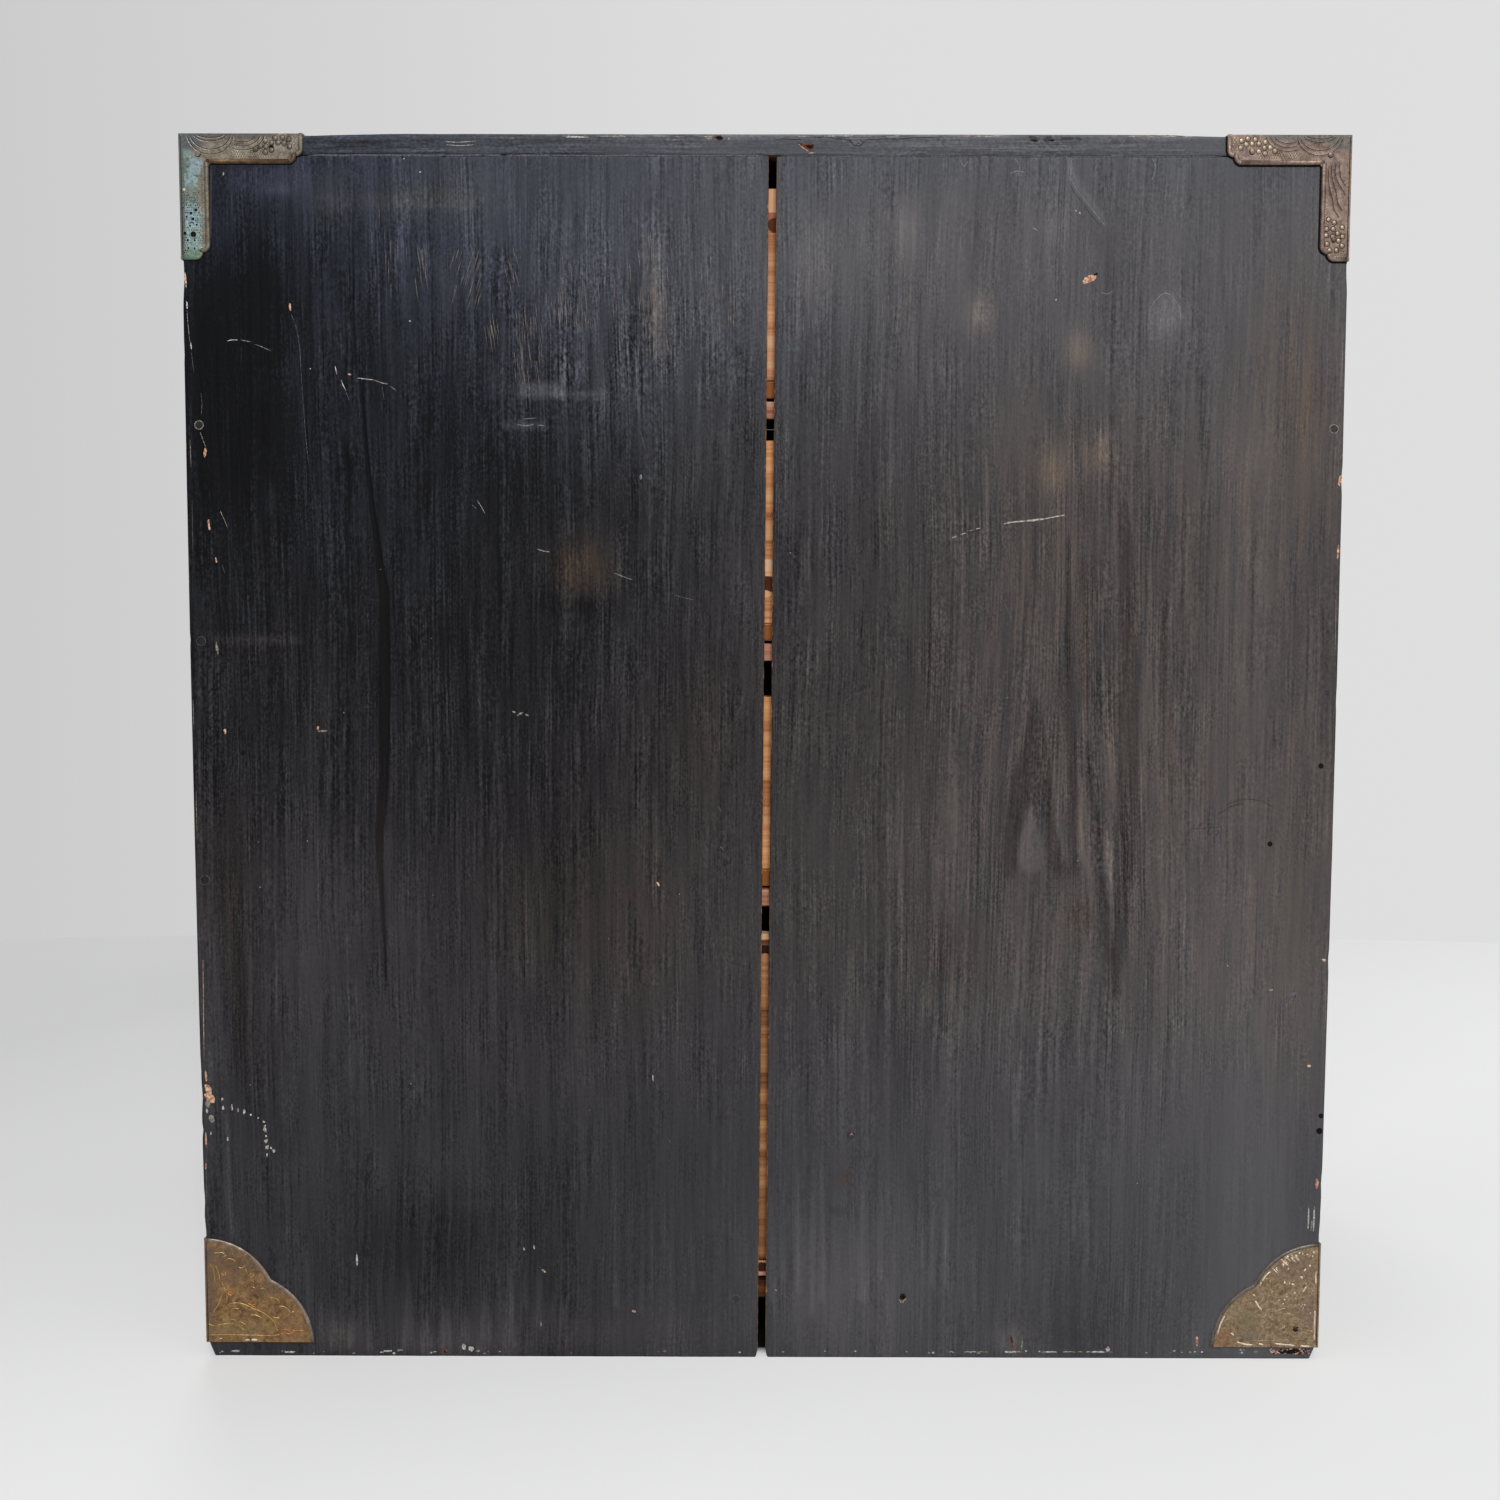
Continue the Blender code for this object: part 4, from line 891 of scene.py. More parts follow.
def case_boards():
    """The boards of the case: the lacquered ones are worn, the shelves stay bare."""
    for number, (side, band) in enumerate((("right", CRACK_BAND), ("left", TENT_BAND))):
        worn_board(
            f"back_board_{side}", BACK_CELLS, UPRIGHT, 0.5, 0.18, [BACK_LACQUER, CASE_INSIDE], "carcass",
            1 + number, extra={0: band}, shape=back_shape, inner_way=(0, -1, 0),
        )
    worn_board(
        "top_board", (3.0, 4.0, 1.0), WIDTHWISE, 0.5, 0.2, [CASE_LACQUER, CASE_INSIDE], "carcass",
        3, shape=top_shape, inner_way=(0, 0, -1),
    )
    for number, (side, hand) in enumerate(SIDES):
        worn_board(
            f"{side}_side", (2.5, 3.0, 6.0), UPRIGHT, 0.5, 0.19, [CASE_LACQUER, CASE_INSIDE], "carcass",
            4 + number, inner_way=(-hand, 0, 0),
        )
    worn_board(
        "base_rail", (4.0, 3.0, 3.0), WIDTHWISE, 0.5, 0.15, [CASE_LACQUER], "carcass", 6,
    )
    finish_node("bottom_board", BASE_CEDAR)
    for shelf in ("shelf_lower", "shelf_middle", "shelf_upper"):
        finish_node(shelf, SHELF_CEDAR)


def drawer_boards():
    """Four drawers of bare cedar, each with a worn lacquered front."""
    for number, tier in enumerate(TIERS):
        finish_node(f"{tier}_drawer_back", DRAWER_BACKS[tier])
        finish_node(f"{tier}_drawer_bottom", DEEP_FLOOR if tier == "deep" else DRAWER_FLOORS)
        for side, hand in SIDES:
            finish_node(f"{tier}_drawer_{side}_side", DRAWER_Y)
        front = worn_board(
            f"{tier}_drawer_front", (5.0, 3.0, 5.0), WIDTHWISE, 0.8, 0.11, [FRONT_LACQUER, DRAWER_X],
            f"{tier}_drawer", 10 + number, shape=front_shape, inner_way=(0, 1, 0),
            thick_y=FRONT_SLAB,
        )
        inner_block(front, tier)


def inner_block(front, tier):
    """The bare inner part of a drawer front, which fits between the drawer's sides and over its bottom."""
    low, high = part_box(f"{tier}_drawer_front")
    bottom_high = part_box(f"{tier}_drawer_bottom")[1]
    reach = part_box(f"{tier}_drawer_back")[1].x
    near, far = low.y + FRONT_SLAB * MM - 0.2 * MM, high.y
    foot, head = bottom_high.z + 0.3 * MM, high.z + 0.6 * MM
    work = bmesh.new()
    work.from_mesh(front.data)
    made = bmesh.ops.create_cube(work, size=1.0)["verts"]
    size = Vector((2 * reach, far - near, head - foot))
    for corner in made:
        corner.co = Vector((corner.co.x * size.x, corner.co.y * size.y, corner.co.z * size.z))
        corner.co += Vector((0, (near + far) / 2, (foot + head) / 2))
    for face in {face for corner in made for face in corner.link_faces}:
        face.material_index = 1
    edges = list({edge for corner in made for edge in corner.link_edges})
    bmesh.ops.bevel(work, geom=edges, offset=0.6 * MM, segments=2, profile=0.5, affect="EDGES", material=1)
    work.to_mesh(front.data)
    work.free()


# Raised work on a surface, in the surface's own measure; put gives the place at (u, v) and a height in mm

HALF_ROUND = ((-1.0, 0.0), (-0.8, 0.62), (-0.35, 0.95), (0.35, 0.95), (0.8, 0.62), (1.0, 0.0))
# shares of the outline and of the height at which the rings of a bead and of a flake lie
BEAD_RISE = ((1.0, 0.1), (0.86, 0.6), (0.5, 0.92))
FLAKE_RISE = ((0.96, 0.25), (0.55, 0.8))
# how deep raised work is let into its surface, in mm, and how thin a tapered line ends
SUNK = 0.12
TAPER = 0.35


def flow(points, steps=4):
    """A smooth line through the points."""
    ends = [points[0]] + list(points) + [points[-1]]
    smooth = []
    for a, b, c, d in zip(ends, ends[1:], ends[2:], ends[3:]):
        for step in range(steps):
            t = step / steps
            smooth.append(tuple(
                0.5 * (
                    2 * q + (r - p) * t + (2 * p - 5 * q + 4 * r - s) * t * t
                    + (3 * q - p - 3 * r + s) * t ** 3
                )
                for p, q, r, s in zip(a, b, c, d)
            ))
    return smooth + [tuple(points[-1])]


def spokes(count):
    """A full turn in equal steps, as pairs of cosine and sine."""
    return [(cos(2 * pi * step / count), sin(2 * pi * step / count)) for step in range(count)]


def wrap(work, rings, finish=0, smooth=None, closed=False, ends=(0, -1)):
    """Joins rings of points by faces, and shuts the ends unless the rings run round in a circle.

    smooth says how many faces of each ring are shaded round, all of them if it isn't given.
    """
    for ring, after in zip(rings, rings[1:] + rings[:1] if closed else rings[1:]):
        for place in range(len(ring)):
            beside = (place + 1) % len(ring)
            face = work.faces.new((ring[place], ring[beside], after[beside], after[place]))
            face.material_index = finish
            face.smooth = smooth is None or place < smooth
    for end in () if closed else ends:
        work.faces.new(rings[end]).material_index = finish


def ridge(work, put, path, wide, high, finish, closed=False, tapered=True):
    """A half-round raised line along a path of (u, v) points."""
    rows = []
    last = len(path) - 1
    for place, (u, v) in enumerate(path):
        before = path[place - 1] if closed or place else path[0]
        after = path[(place + 1) % len(path)] if closed else path[min(place + 1, last)]
        run_u, run_v = after[0] - before[0], after[1] - before[1]
        run = hypot(run_u, run_v) or 1.0
        thin = TAPER if tapered and not closed and place in (0, last) else 1.0
        row = []
        for across, up in HALF_ROUND:
            shift = across * wide / 2 * thin
            height = (high * thin + SUNK) * up - SUNK
            row.append(work.verts.new(put(u - run_v / run * shift, v + run_u / run * shift, height)))
        rows.append(row)
    wrap(work, rows, finish, len(HALF_ROUND) - 1, closed)


def dome(work, put, middle, outline, rise, high, finish, smooth=None):
    """A low dome on an outline, let into the surface; rise gives the shares at which its rings lie."""
    a, b = middle
    rings = []
    for share, up in ((1.0, -SUNK), *((share, up * high) for share, up in rise)):
        rings.append([work.verts.new(put(a + share * (u - a), b + share * (v - b), up)) for u, v in outline])
    crown = work.verts.new(put(a, b, high))
    wrap(work, rings, finish, smooth, ends=(0,))
    for corner, beside in zip(rings[-1], rings[-1][1:] + rings[-1][:1]):
        face = work.faces.new((corner, beside, crown))
        face.material_index = finish
        face.smooth = smooth is None


def bead(work, put, centre, radius, high, finish, sides=10, squash=1.0):
    """A low round dome."""
    outline = [(centre[0] + radius * c, centre[1] + radius * squash * s) for c, s in spokes(sides)]
    dome(work, put, centre, outline, BEAD_RISE, high, finish)


def lens(work, put, outline, high, finish):
    """An uneven flake with a crown a little above its outline."""
    middle = [sum(point[axis] for point in outline) / len(outline) for axis in (0, 1)]
    dome(work, put, middle, outline, FLAKE_RISE, high, finish, smooth=0)


def raised_piece(work, name, materials, body, replaced=None):
    """Turns raised work into a piece."""
    bmesh.ops.recalc_face_normals(work, faces=work.faces)
    mesh = bpy.data.meshes.new(name)
    work.to_mesh(mesh)
    work.free()
    return finish_piece(name, mesh, materials, body, replaced)


# Corner fittings, in mm from the corner where a plate's folds meet: u along the level edge, v the upright

ANGLE_ARM, ANGLE_WIDE, ANGLE_STEP = 47.5, 11.0, 2.8
LIP_TOP, LIP_SIDE = 6.8, 7.5
QUARTER_REACH, QUARTER_CUSP, QUARTER_BULGE = 43.5, 26.4, 4.5
SHEET = 0.4
RIM_WIDE, RIM_HIGH = 1.9, 0.27
QUARTER_RIM_WIDE = 1.5
# heights of flat stains, punched dots, tack heads and beads
STAIN_HIGH, DOT_HIGH, TACK_HIGH, BEAD_HIGH = 0.03, 0.13, 0.24, 0.26
# finishes of the chasing, as they are numbered on each fitting
LEVEL_RIM, UPRIGHT_RIM, BRIGHT, HOLE_AND_SHADE, TACK, FIELD, COPPER, SCRAPE, GRIME_AND_SHADE = range(9)


def angle_edge():
    """The free edge of an L: each arm ends in two round lobes, one stepped back from the other."""
    half = [(ANGLE_ARM, 0.0)]
    for lobe in (2, 1):
        u, v = ANGLE_ARM - (3 - lobe) * ANGLE_STEP, ANGLE_WIDE - lobe * ANGLE_STEP
        for step in range(7):
            turn = pi / 2 * step / 6
            half.append((u + ANGLE_STEP * cos(turn), v + ANGLE_STEP * sin(turn)))
    half.append((ANGLE_WIDE + 0.7, ANGLE_WIDE))
    return half + [(v, u) for u, v in reversed(half)]


def lip_edge():
    """The free edge of the narrow L on the drawer side."""
    return [
        (ANGLE_ARM, 0.0), (ANGLE_ARM, LIP_TOP - 2.2), (ANGLE_ARM - 0.7, LIP_TOP - 0.7),
        (ANGLE_ARM - 2.2, LIP_TOP), (LIP_SIDE, LIP_TOP), (LIP_SIDE, ANGLE_ARM - 2.2),
        (LIP_SIDE - 0.7, ANGLE_ARM - 0.7), (LIP_SIDE - 2.2, ANGLE_ARM), (0.0, ANGLE_ARM),
    ]


def quarter_edge():
    """The free edge of a quarter plate: two round lobes that meet in a cusp."""
    edge = []
    ends = ((QUARTER_REACH, 0.0), (QUARTER_CUSP, QUARTER_CUSP), (0.0, QUARTER_REACH))
    for start, end in zip(ends, ends[1:]):
        run_u, run_v = end[0] - start[0], end[1] - start[1]
        run = hypot(run_u, run_v)
        for step in range(12):
            t = step / 12
            out = 4 * QUARTER_BULGE * t * (1 - t)
            edge.append((start[0] + run_u * t + run_v / run * out, start[1] + run_v * t - run_u / run * out))
    return edge + [ends[-1]]


def strip_edge():
    """The free edge of the narrow foot strip on the drawer side."""
    return [
        (LIP_SIDE, 0.0), (LIP_SIDE, QUARTER_REACH - 2.5),
        (LIP_SIDE - 2.5, QUARTER_REACH), (0.0, QUARTER_REACH),
    ]


def inset(edge, by):
    """A line that runs beside a free edge, inside it."""
    line = []
    for place, (u, v) in enumerate(edge):
        before = edge[max(place - 1, 0)]
        after = edge[min(place + 1, len(edge) - 1)]
        run_u, run_v = after[0] - before[0], after[1] - before[1]
        run = hypot(run_u, run_v)
        line.append((max(u - run_v / run * by, 0.25), max(v + run_u / run * by, 0.25)))
    return line


# nested flat scallops that hang from the level edge: centre, then half width and depth of each line
SCALLOPS = (
    ((12, -1), ((6.6, 2.6), (7.2, 3.9), (8.3, 7), (9.4, 8.9))),
    ((24.2, -1), ((6, 4.3), (7.6, 5.8), (9.2, 7.3))),
)
# curls on the upright arm of an L
LONG_CURLS = (
    ((4.5, 10.3), (4.6, 12.7), (4, 15.8), (2.2, 18.9)),
    ((6, 10.3), (6.4, 13.1), (5.7, 16.2), (3.6, 19.9), (1.9, 22.7)),
    ((7.5, 10.3), (7.8, 13.7), (7.1, 17.2), (5.7, 21.3), (5, 25.1), (2.9, 28.5)),
    ((8.7, 11.3), (8.8, 15.8), (8.3, 19.9), (7, 24), (6.4, 27.5), (4.3, 30.9)),
)
# beads on the level and the upright arm
LEVEL_BEADS = (
    (42.1, 1.9), (39.7, 1.2), (42.4, 4.6), (40.3, 3.3), (38, 3.1), (35.4, 3.1), (35.4, 5.9), (33, 2.4),
    (33.3, 4.6), (31.1, 4.5), (33, 6.7), (36.9, 1.4), (29.2, 5.7),
)
UPRIGHT_BEADS = (
    (7.9, 31.6), (5.7, 32.8), (8.6, 35.2), (6.1, 35.2), (8.7, 37.6), (6.2, 38.1), (4.3, 36.9), (3.9, 39.6),
    (8.3, 40.9), (7.2, 43.3), (4.6, 43.2), (2.4, 38), (2.5, 41.6), (2.6, 34.6),
)
# tacks of an L: place, radius
ANGLE_TACKS = (((7.7, 7.1), 1), ((37.8, 5.9), 1.1), ((5.6, 39.2), 0.9))


def in_scallop(u, v, spare, scallops=SCALLOPS):
    """Whether a place lies within the outermost line of a scallop."""
    for (cu, cv), lines in scallops:
        wide, deep = lines[-1]
        if ((u - cu) / (wide + spare)) ** 2 + ((v - cv) / (deep + spare)) ** 2 < 1:
            return True
    return False


def angle_rims(work, put, ends, tip=UPRIGHT_RIM):
    """The raised rims of an L; ends and tip are the finishes of the outer lobes, level and upright."""
    edge = inset(angle_edge(), RIM_WIDE / 2)
    middle = len(edge) // 2
    elbow = [(ANGLE_WIDE - 0.95, ANGLE_WIDE - 0.95)]
    for line, finish in (
        (edge[:8], ends), (edge[7:middle - 1], LEVEL_RIM), (edge[middle - 2:middle] + elbow, LEVEL_RIM),
        (elbow + edge[middle:-7], UPRIGHT_RIM), (edge[-8:], tip),
    ):
        ridge(work, put, line, RIM_WIDE, RIM_HIGH, finish, tapered=False)


def chased_line(work, put, line, beside, finish):
    """A raised line with the grime that lies beside it."""
    ridge(work, put, line, 0.46, 0.14, finish)
    ridge(work, put, beside, 0.4, 0.05, GRIME_AND_SHADE)


def punch_dots(work, put, dots, beads, grimed=False):
    """Small dots of the chaser's punch, wherever no bead stands, with a speck of grime beside each."""
    for u, v in dots:
        if all(hypot(u - a, v - b) > 1.25 for a, b in beads):
            bead(work, put, (u, v), 0.3, DOT_HIGH, BRIGHT, sides=6)
            if grimed:
                bead(work, put, (u + 0.47, v), 0.17, STAIN_HIGH, GRIME_AND_SHADE, sides=5)


def level_chasing(work, put, line_finish, bead_finish=BRIGHT):
    """The level arm of an L: nested scallops, beads and punched dots."""
    for number, ((cu, cv), lines) in enumerate(SCALLOPS):
        for wide, deep in lines:
            line, beside = [], []
            for step in range(33):
                turn = pi * step / 32
                u, v = cu + wide * cos(turn), cv + deep * sin(turn)
                # a scallop shows only outside the ones before it
                if v > 0.4 and not in_scallop(u, v, 0.2, SCALLOPS[:number]):
                    line.append((u, v))
                    beside.append((u - 0.4 * cos(turn), v - 0.4 * sin(turn)))
            chased_line(work, put, line, beside, line_finish)
    for place in LEVEL_BEADS:
        # a dark ring round the bead's foot: painted shade
        bead(work, put, place, 1.14, STAIN_HIGH, GRIME_AND_SHADE)
        bead(work, put, place, 0.98, BEAD_HIGH, bead_finish)
    dots = []
    for row in range(5):
        dots += [(20.4 + 0.95 * step + 0.47 * (row % 2), 5.0 + 0.82 * row) for step in range(16)]
    for row in range(6):
        dots += [(start + 0.4 * (row % 2), 1.0 + 0.85 * row) for start in (43.7, 44.9)]
    punch_dots(work, put, [dot for dot in dots if not in_scallop(*dot, 0.4)], LEVEL_BEADS, grimed=True)


def upright_chasing(work, put, line_finish):
    """The upright arm of an L: long curls, beads and punched dots."""
    for curl in LONG_CURLS:
        line = flow(curl)
        chased_line(work, put, line, [(u - 0.42, v) for u, v in line], line_finish)
    for place in UPRIGHT_BEADS:
        # a dark ring round the bead's foot: painted shade
        bead(work, put, place, 1.15, STAIN_HIGH, GRIME_AND_SHADE)
        bead(work, put, place, 0.88, BEAD_HIGH, BRIGHT)
    dots = []
    for row in range(15):
        dots += [(8.3 + 0.42 * (row % 2), 26.2 + 0.85 * row), (9.15, 25.8 + 0.85 * row)]
    for row in range(4):
        steps = range(4 if row > 2 else 6)
        dots += [(1.3 + 0.9 * step + 0.45 * (row % 2), 44.4 + 0.7 * row) for step in steps]
    punch_dots(work, put, dots, UPRIGHT_BEADS)


def tack_head(work, put, place, radius):
    """A brass tack that has sunk a little, with a dark crescent of painted shadow under its lower edge."""
    bead(work, put, (place[0] + 0.15, place[1] + 0.2), radius * 1.12, STAIN_HIGH, HOLE_AND_SHADE, sides=14)
    bead(work, put, place, radius, TACK_HIGH, FIELD, sides=14)


def chase_angle(work, put):
    """The chased work of an L."""
    angle_rims(work, put, LEVEL_RIM)
    level_chasing(work, put, FIELD)
    upright_chasing(work, put, FIELD)
    for place, radius in ANGLE_TACKS:
        tack_head(work, put, place, radius)


def shadow_line(work, put, path, wide):
    """The dark line of painted shadow on the wood beside a plate's free edge."""
    def on_wood(u, v, high):
        return put(u, v, high - SHEET - SEAT)

    ridge(work, on_wood, path, wide, 0.05, HOLE_AND_SHADE, tapered=False)


def fold_line(work, put, long):
    """A dark line of painted shade along the fold at the chest's side."""
    ridge(work, put, [(0.4, 0.6), (0.45, long / 2), (0.4, long - 0.6)], 0.62, 0.04, GRIME_AND_SHADE, tapered=False)


def chase_brown_back(work, put):
    """The L at the photograph's right, with a black line of painted shadow all along its inner edge."""
    chase_angle(work, put)
    fold_line(work, put, ANGLE_ARM)
    shadow_line(work, put, inset(angle_edge(), -0.3), 1.15)


# holes and pits in the crusted upright, as u, v and radius
CRUST_PITS = (
    (4.6, 37.8, 1.15), (1.4, 37.5, 0.66), (3.9, 29.8, 0.6), (5.8, 28.6, 0.62), (4.6, 32, 0.6),
    (2.4, 40.1, 0.5), (5.1, 40.1, 0.45), (3.4, 34.6, 0.4), (6, 34.2, 0.42), (2.2, 31.2, 0.4), (2.6, 43, 0.4),
    (5, 43.2, 0.36),
)


def chase_green_back(work, put):
    """The L at the photograph's left: its upright is crusted, so only pits show there."""
    angle_rims(work, put, UPRIGHT_RIM, FIELD)
    level_chasing(work, put, BRIGHT, UPRIGHT_RIM)
    fold_line(work, put, ANGLE_ARM)
    for u, v, radius in CRUST_PITS:
        bead(work, put, (u, v), radius, STAIN_HIGH, HOLE_AND_SHADE, sides=12)
    chance = random.Random(21)
    for row in range(25):
        for step in range(8):
            u, v = 1.0 + 0.85 * step + 0.42 * (row % 2), 22.0 + 0.95 * row
            near_hole = any(hypot(u - a, v - b) < c + 0.35 for a, b, c in CRUST_PITS)
            if not near_hole and u < 7.4 and chance.random() < 0.6:
                bead(work, put, (u, v), chance.uniform(0.16, 0.3), STAIN_HIGH, GRIME_AND_SHADE, sides=7)
    for row in range(34):
        bead(work, put, (8.15 + 0.3 * (row % 2), 13.0 + 0.85 * row), 0.2, STAIN_HIGH, GRIME_AND_SHADE, sides=6)
    bead(work, put, (1.4, 20.9), 0.5, 0.1, SCRAPE, sides=8)
    bead(work, put, (35.4, 4.8), 0.95, 0.05, HOLE_AND_SHADE, sides=9, squash=1.2)
    tack_head(work, put, (6.9, 7.2), 1.1)
    edge = inset(angle_edge(), -0.2)
    shadow_line(work, put, edge[2:len(edge) // 2], 0.7)
    shadow_line(work, put, edge[-9:], 0.6)


# lines chased on a quarter plate, coppery ones, and scrapes on the worn one
QUARTER_LINES = (
    ((16.7, 11.1), (19.2, 11), (22, 9.4), (23.8, 7.3), (25.1, 4.8), (25.4, 2.9)),
    ((8, 15), (9.9, 15.9), (13, 15.9), (15.8, 15), (18, 13.8), (20.4, 12.8), (22.6, 11.6), (24.8, 9.8),
     (26.3, 7.9), (27.1, 5.4), (27.6, 4.5)),
    ((4, 9.3), (6.2, 10.7), (8, 11.9), (9.3, 13.2), (10.8, 13.8), (12.7, 13.6)),
    ((0.6, 7.6), (2.5, 6.7), (5, 7.1), (8, 7.7), (10.5, 7.7), (11.5, 8.5)),
    ((6.2, 8.4), (8.7, 8.8), (10.2, 9.4), (11.1, 8.5), (11.5, 6.7)), ((12.4, 8.5), (13.9, 7.9), (15.2, 7.1)),
    ((12.1, 6.7), (13.6, 5.7), (15.2, 4.5)), ((0.7, 2.9), (8, 3.1), (17.3, 2.9), (25.4, 2.8), (28.2, 3.3)),
    ((1.5, 32), (2.8, 29.9), (3.4, 27.1), (3.3, 24)), ((3.9, 31.1), (4.8, 28.9), (5.3, 26.5), (5.1, 24.9)),
    ((5.3, 23.4), (5.9, 20.6), (5.6, 17.8), (4.6, 15.3), (3.1, 13.2), (2.6, 11.9)),
    ((6.2, 24), (7.3, 21.5), (8, 18.7), (7.9, 15.9)), ((7.4, 33.1), (9, 33.9), (10.5, 33.7), (11.6, 32.7)),
    ((3.1, 36.1), (5, 36.4), (6.5, 36.4), (7.6, 35.6)), ((6.5, 34.5), (8.4, 35.4)),
    ((12.7, 30.5), (14.2, 30.2), (15.5, 31.4)), ((15.2, 29.9), (15.8, 28.9), (16.1, 27.7)),
    ((16.1, 26.6), (18, 28.3)), ((16.6, 26.1), (18.5, 27.9)), ((17, 25.8), (18.7, 27.3)),
    ((17.3, 22.9), (19.2, 22.1), (20.1, 23.4)), ((20.1, 22.1), (21.4, 23.4)),
    ((20.4, 21.5), (22, 22), (23.2, 21.2)), ((24.5, 18.3), (26.3, 18.1), (27.9, 17.2), (28.2, 15.9)),
    ((28.2, 14.7), (30, 14.6), (31.3, 13.8), (32.2, 12.5), (31.3, 10.7), (30.7, 9.8)),
    ((31.6, 9.1), (33.4, 10.4)), ((32.5, 12.2), (34.1, 12.5)), ((25.4, 10.4), (26.6, 10.1), (28.5, 9.8)),
)
COPPER_LINES = (
    ((28.2, 4.8), (30.7, 5.1), (31.9, 4.5), (32.5, 3.6)),
    ((28.2, 3.6), (30.7, 3.7), (32.2, 3.4), (33.7, 4.5), (35.9, 4.8), (38.1, 4.8)),
    ((5.9, 28), (7.2, 27.2), (7.6, 28.6)), ((6.2, 26.6), (7.9, 27.6)), ((8.3, 21.3), (9.3, 20.2), (10, 21)),
    ((8.2, 20), (9.6, 19), (10.1, 19.8)), ((16.2, 15.9), (17.6, 15.1), (19.3, 15.6)),
    ((17, 14.6), (18.9, 14.4)),
)
PLATE_SCRAPES = (
    ((7.5, 39.9), (9.6, 38.9), (11.8, 38), (13.9, 36.7)), ((12, 37.3), (13.4, 35.6), (12.5, 34.5)),
    ((14.6, 36.4), (16.2, 35.4)), ((4.4, 37.7), (5.1, 37.9)), ((19.2, 30.7), (20.7, 29), (22, 27)),
    ((22.2, 26.5), (23, 25)), ((24.6, 20.9), (25.4, 21.6)), ((24.4, 19), (23.3, 17), (21.8, 15.1)),
    ((36.2, 12.8), (37.8, 9.2), (38.8, 5.2)), ((33.6, 5.9), (32.3, 4.9)),
    ((31.3, 2.3), (28, 1.3), (24.8, 1)), ((22.8, 1.6), (20.8, 1.1)), ((16.6, 1.6), (12.5, 1.2), (8.4, 0.8)),
    ((6.7, 0.7), (2.5, 0.5)), ((4.8, 24.9), (6.4, 22.3)), ((5.3, 32), (5.9, 31)),
    ((9.5, 25.6), (10.6, 25.9)), ((7.3, 29), (6.3, 28)), ((1.2, 3), (1.3, 9), (1.2, 15)),
    ((1.2, 26), (1.3, 28.5), (1.2, 31)),
)
# nicks in a quarter plate: place, radius
BRIGHT_NICKS = (
    ((9.4, 39.3), 0.55), ((11.9, 38), 0.5), ((15.6, 0.9), 1.1), ((18.3, 1), 1.3), ((5.3, 1.5), 0.6),
)
# copper rubs of close short cuts: middle, half length and how many
COPPER_HATCH = (
    ((8.3, 28.4), 1.4, 4), ((10.2, 21.2), 1.8, 5), ((19.2, 15.8), 1, 5), ((31.2, 4.7), 0.9, 4),
    ((35.6, 4.6), 0.8, 5),
)


def chase_quarter(work, put, worn):
    """The chased work of a quarter plate; on a worn one the lines are nearly gone and scrapes shine."""
    def spread(u, v, high):
        """The place of a drawn line on the plate, which is a little larger than it was drawn."""
        return put(1.045 * u, 1.03 * v, high)

    chance = random.Random(33)
    draw = chance.uniform
    rim = inset(quarter_edge(), QUARTER_RIM_WIDE / 2)
    ridge(work, put, rim, QUARTER_RIM_WIDE, 0.2, LEVEL_RIM, tapered=False)
    fold_line(work, put, QUARTER_REACH)
    for line in QUARTER_LINES:
        ridge(work, spread, flow(line), 0.4, 0.08 if worn else 0.16, FIELD if worn else BRIGHT)
    for line in COPPER_LINES:
        ridge(work, spread, flow(line), 0.5, 0.06 if worn else 0.1, FIELD if worn else COPPER)
    near, far = inset(quarter_edge(), 3.6), inset(quarter_edge(), 5.2)
    if worn:
        for line in PLATE_SCRAPES:
            ridge(work, spread, flow(line), 0.7, 0.07, SCRAPE)
        # a cluster of scrapes under the upper lobe
        for scrape in range(16):
            u, v = near[chance.randrange(16, 21)]
            u, v, long = u + draw(-1.2, 1.2), v + draw(-1.4, 0.9), draw(0.6, 1.4)
            path = [(u + long, v + long), (u, v), (u - long, v - long)]
            ridge(work, put, path, draw(0.35, 0.7), 0.07, SCRAPE)
        # specks rubbed bright below the upper lobe and scattered over the field
        for speck in range(46):
            u, v = near[chance.randrange(14, 24)] if speck < 18 else (draw(2, 16), draw(14, 36))
            spot = (u + draw(-1.2, 1.2), max(v + draw(-1.6, 1.0), 1))
            bead(work, put, spot, draw(0.18, 0.42), 0.05, SCRAPE, sides=6, squash=draw(0.5, 1.5))
        # a ring of painted shadow round the tack's head
        bead(work, put, (9.0, 7.9), 1.25, STAIN_HIGH, HOLE_AND_SHADE, sides=14)
        bead(work, put, (9.1, 8.1), 0.9, TACK_HIGH, TACK, sides=14)
        return
    for place, radius in BRIGHT_NICKS:
        bead(work, spread, place, radius, 0.08, SCRAPE, sides=8, squash=0.35)
    # short cuts of the chaser's tool beside the rim
    for (a, b), (c, d) in zip(near[2:-2], far[2:-2]):
        for cut in range(3):
            slip = draw(-0.9, 0.9)
            start, end = (a + slip, b - slip), (c + slip, d - slip - draw(0, 0.6))
            if chance.random() < 0.55 and min(start + end) > 0.6:
                ridge(work, put, [start, end], 0.26, 0.08, chance.choice((BRIGHT, BRIGHT, GRIME_AND_SHADE)))
    for (u, v), half, count in COPPER_HATCH:
        for cut in range(count):
            slip, lean = 0.62 * (cut - count / 2), draw(-0.3, 0.3)
            path = [(u + slip - 0.3, v - half + lean), (u + slip + 0.4, v + half + lean)]
            ridge(work, put, path, 0.34, 0.08, COPPER)


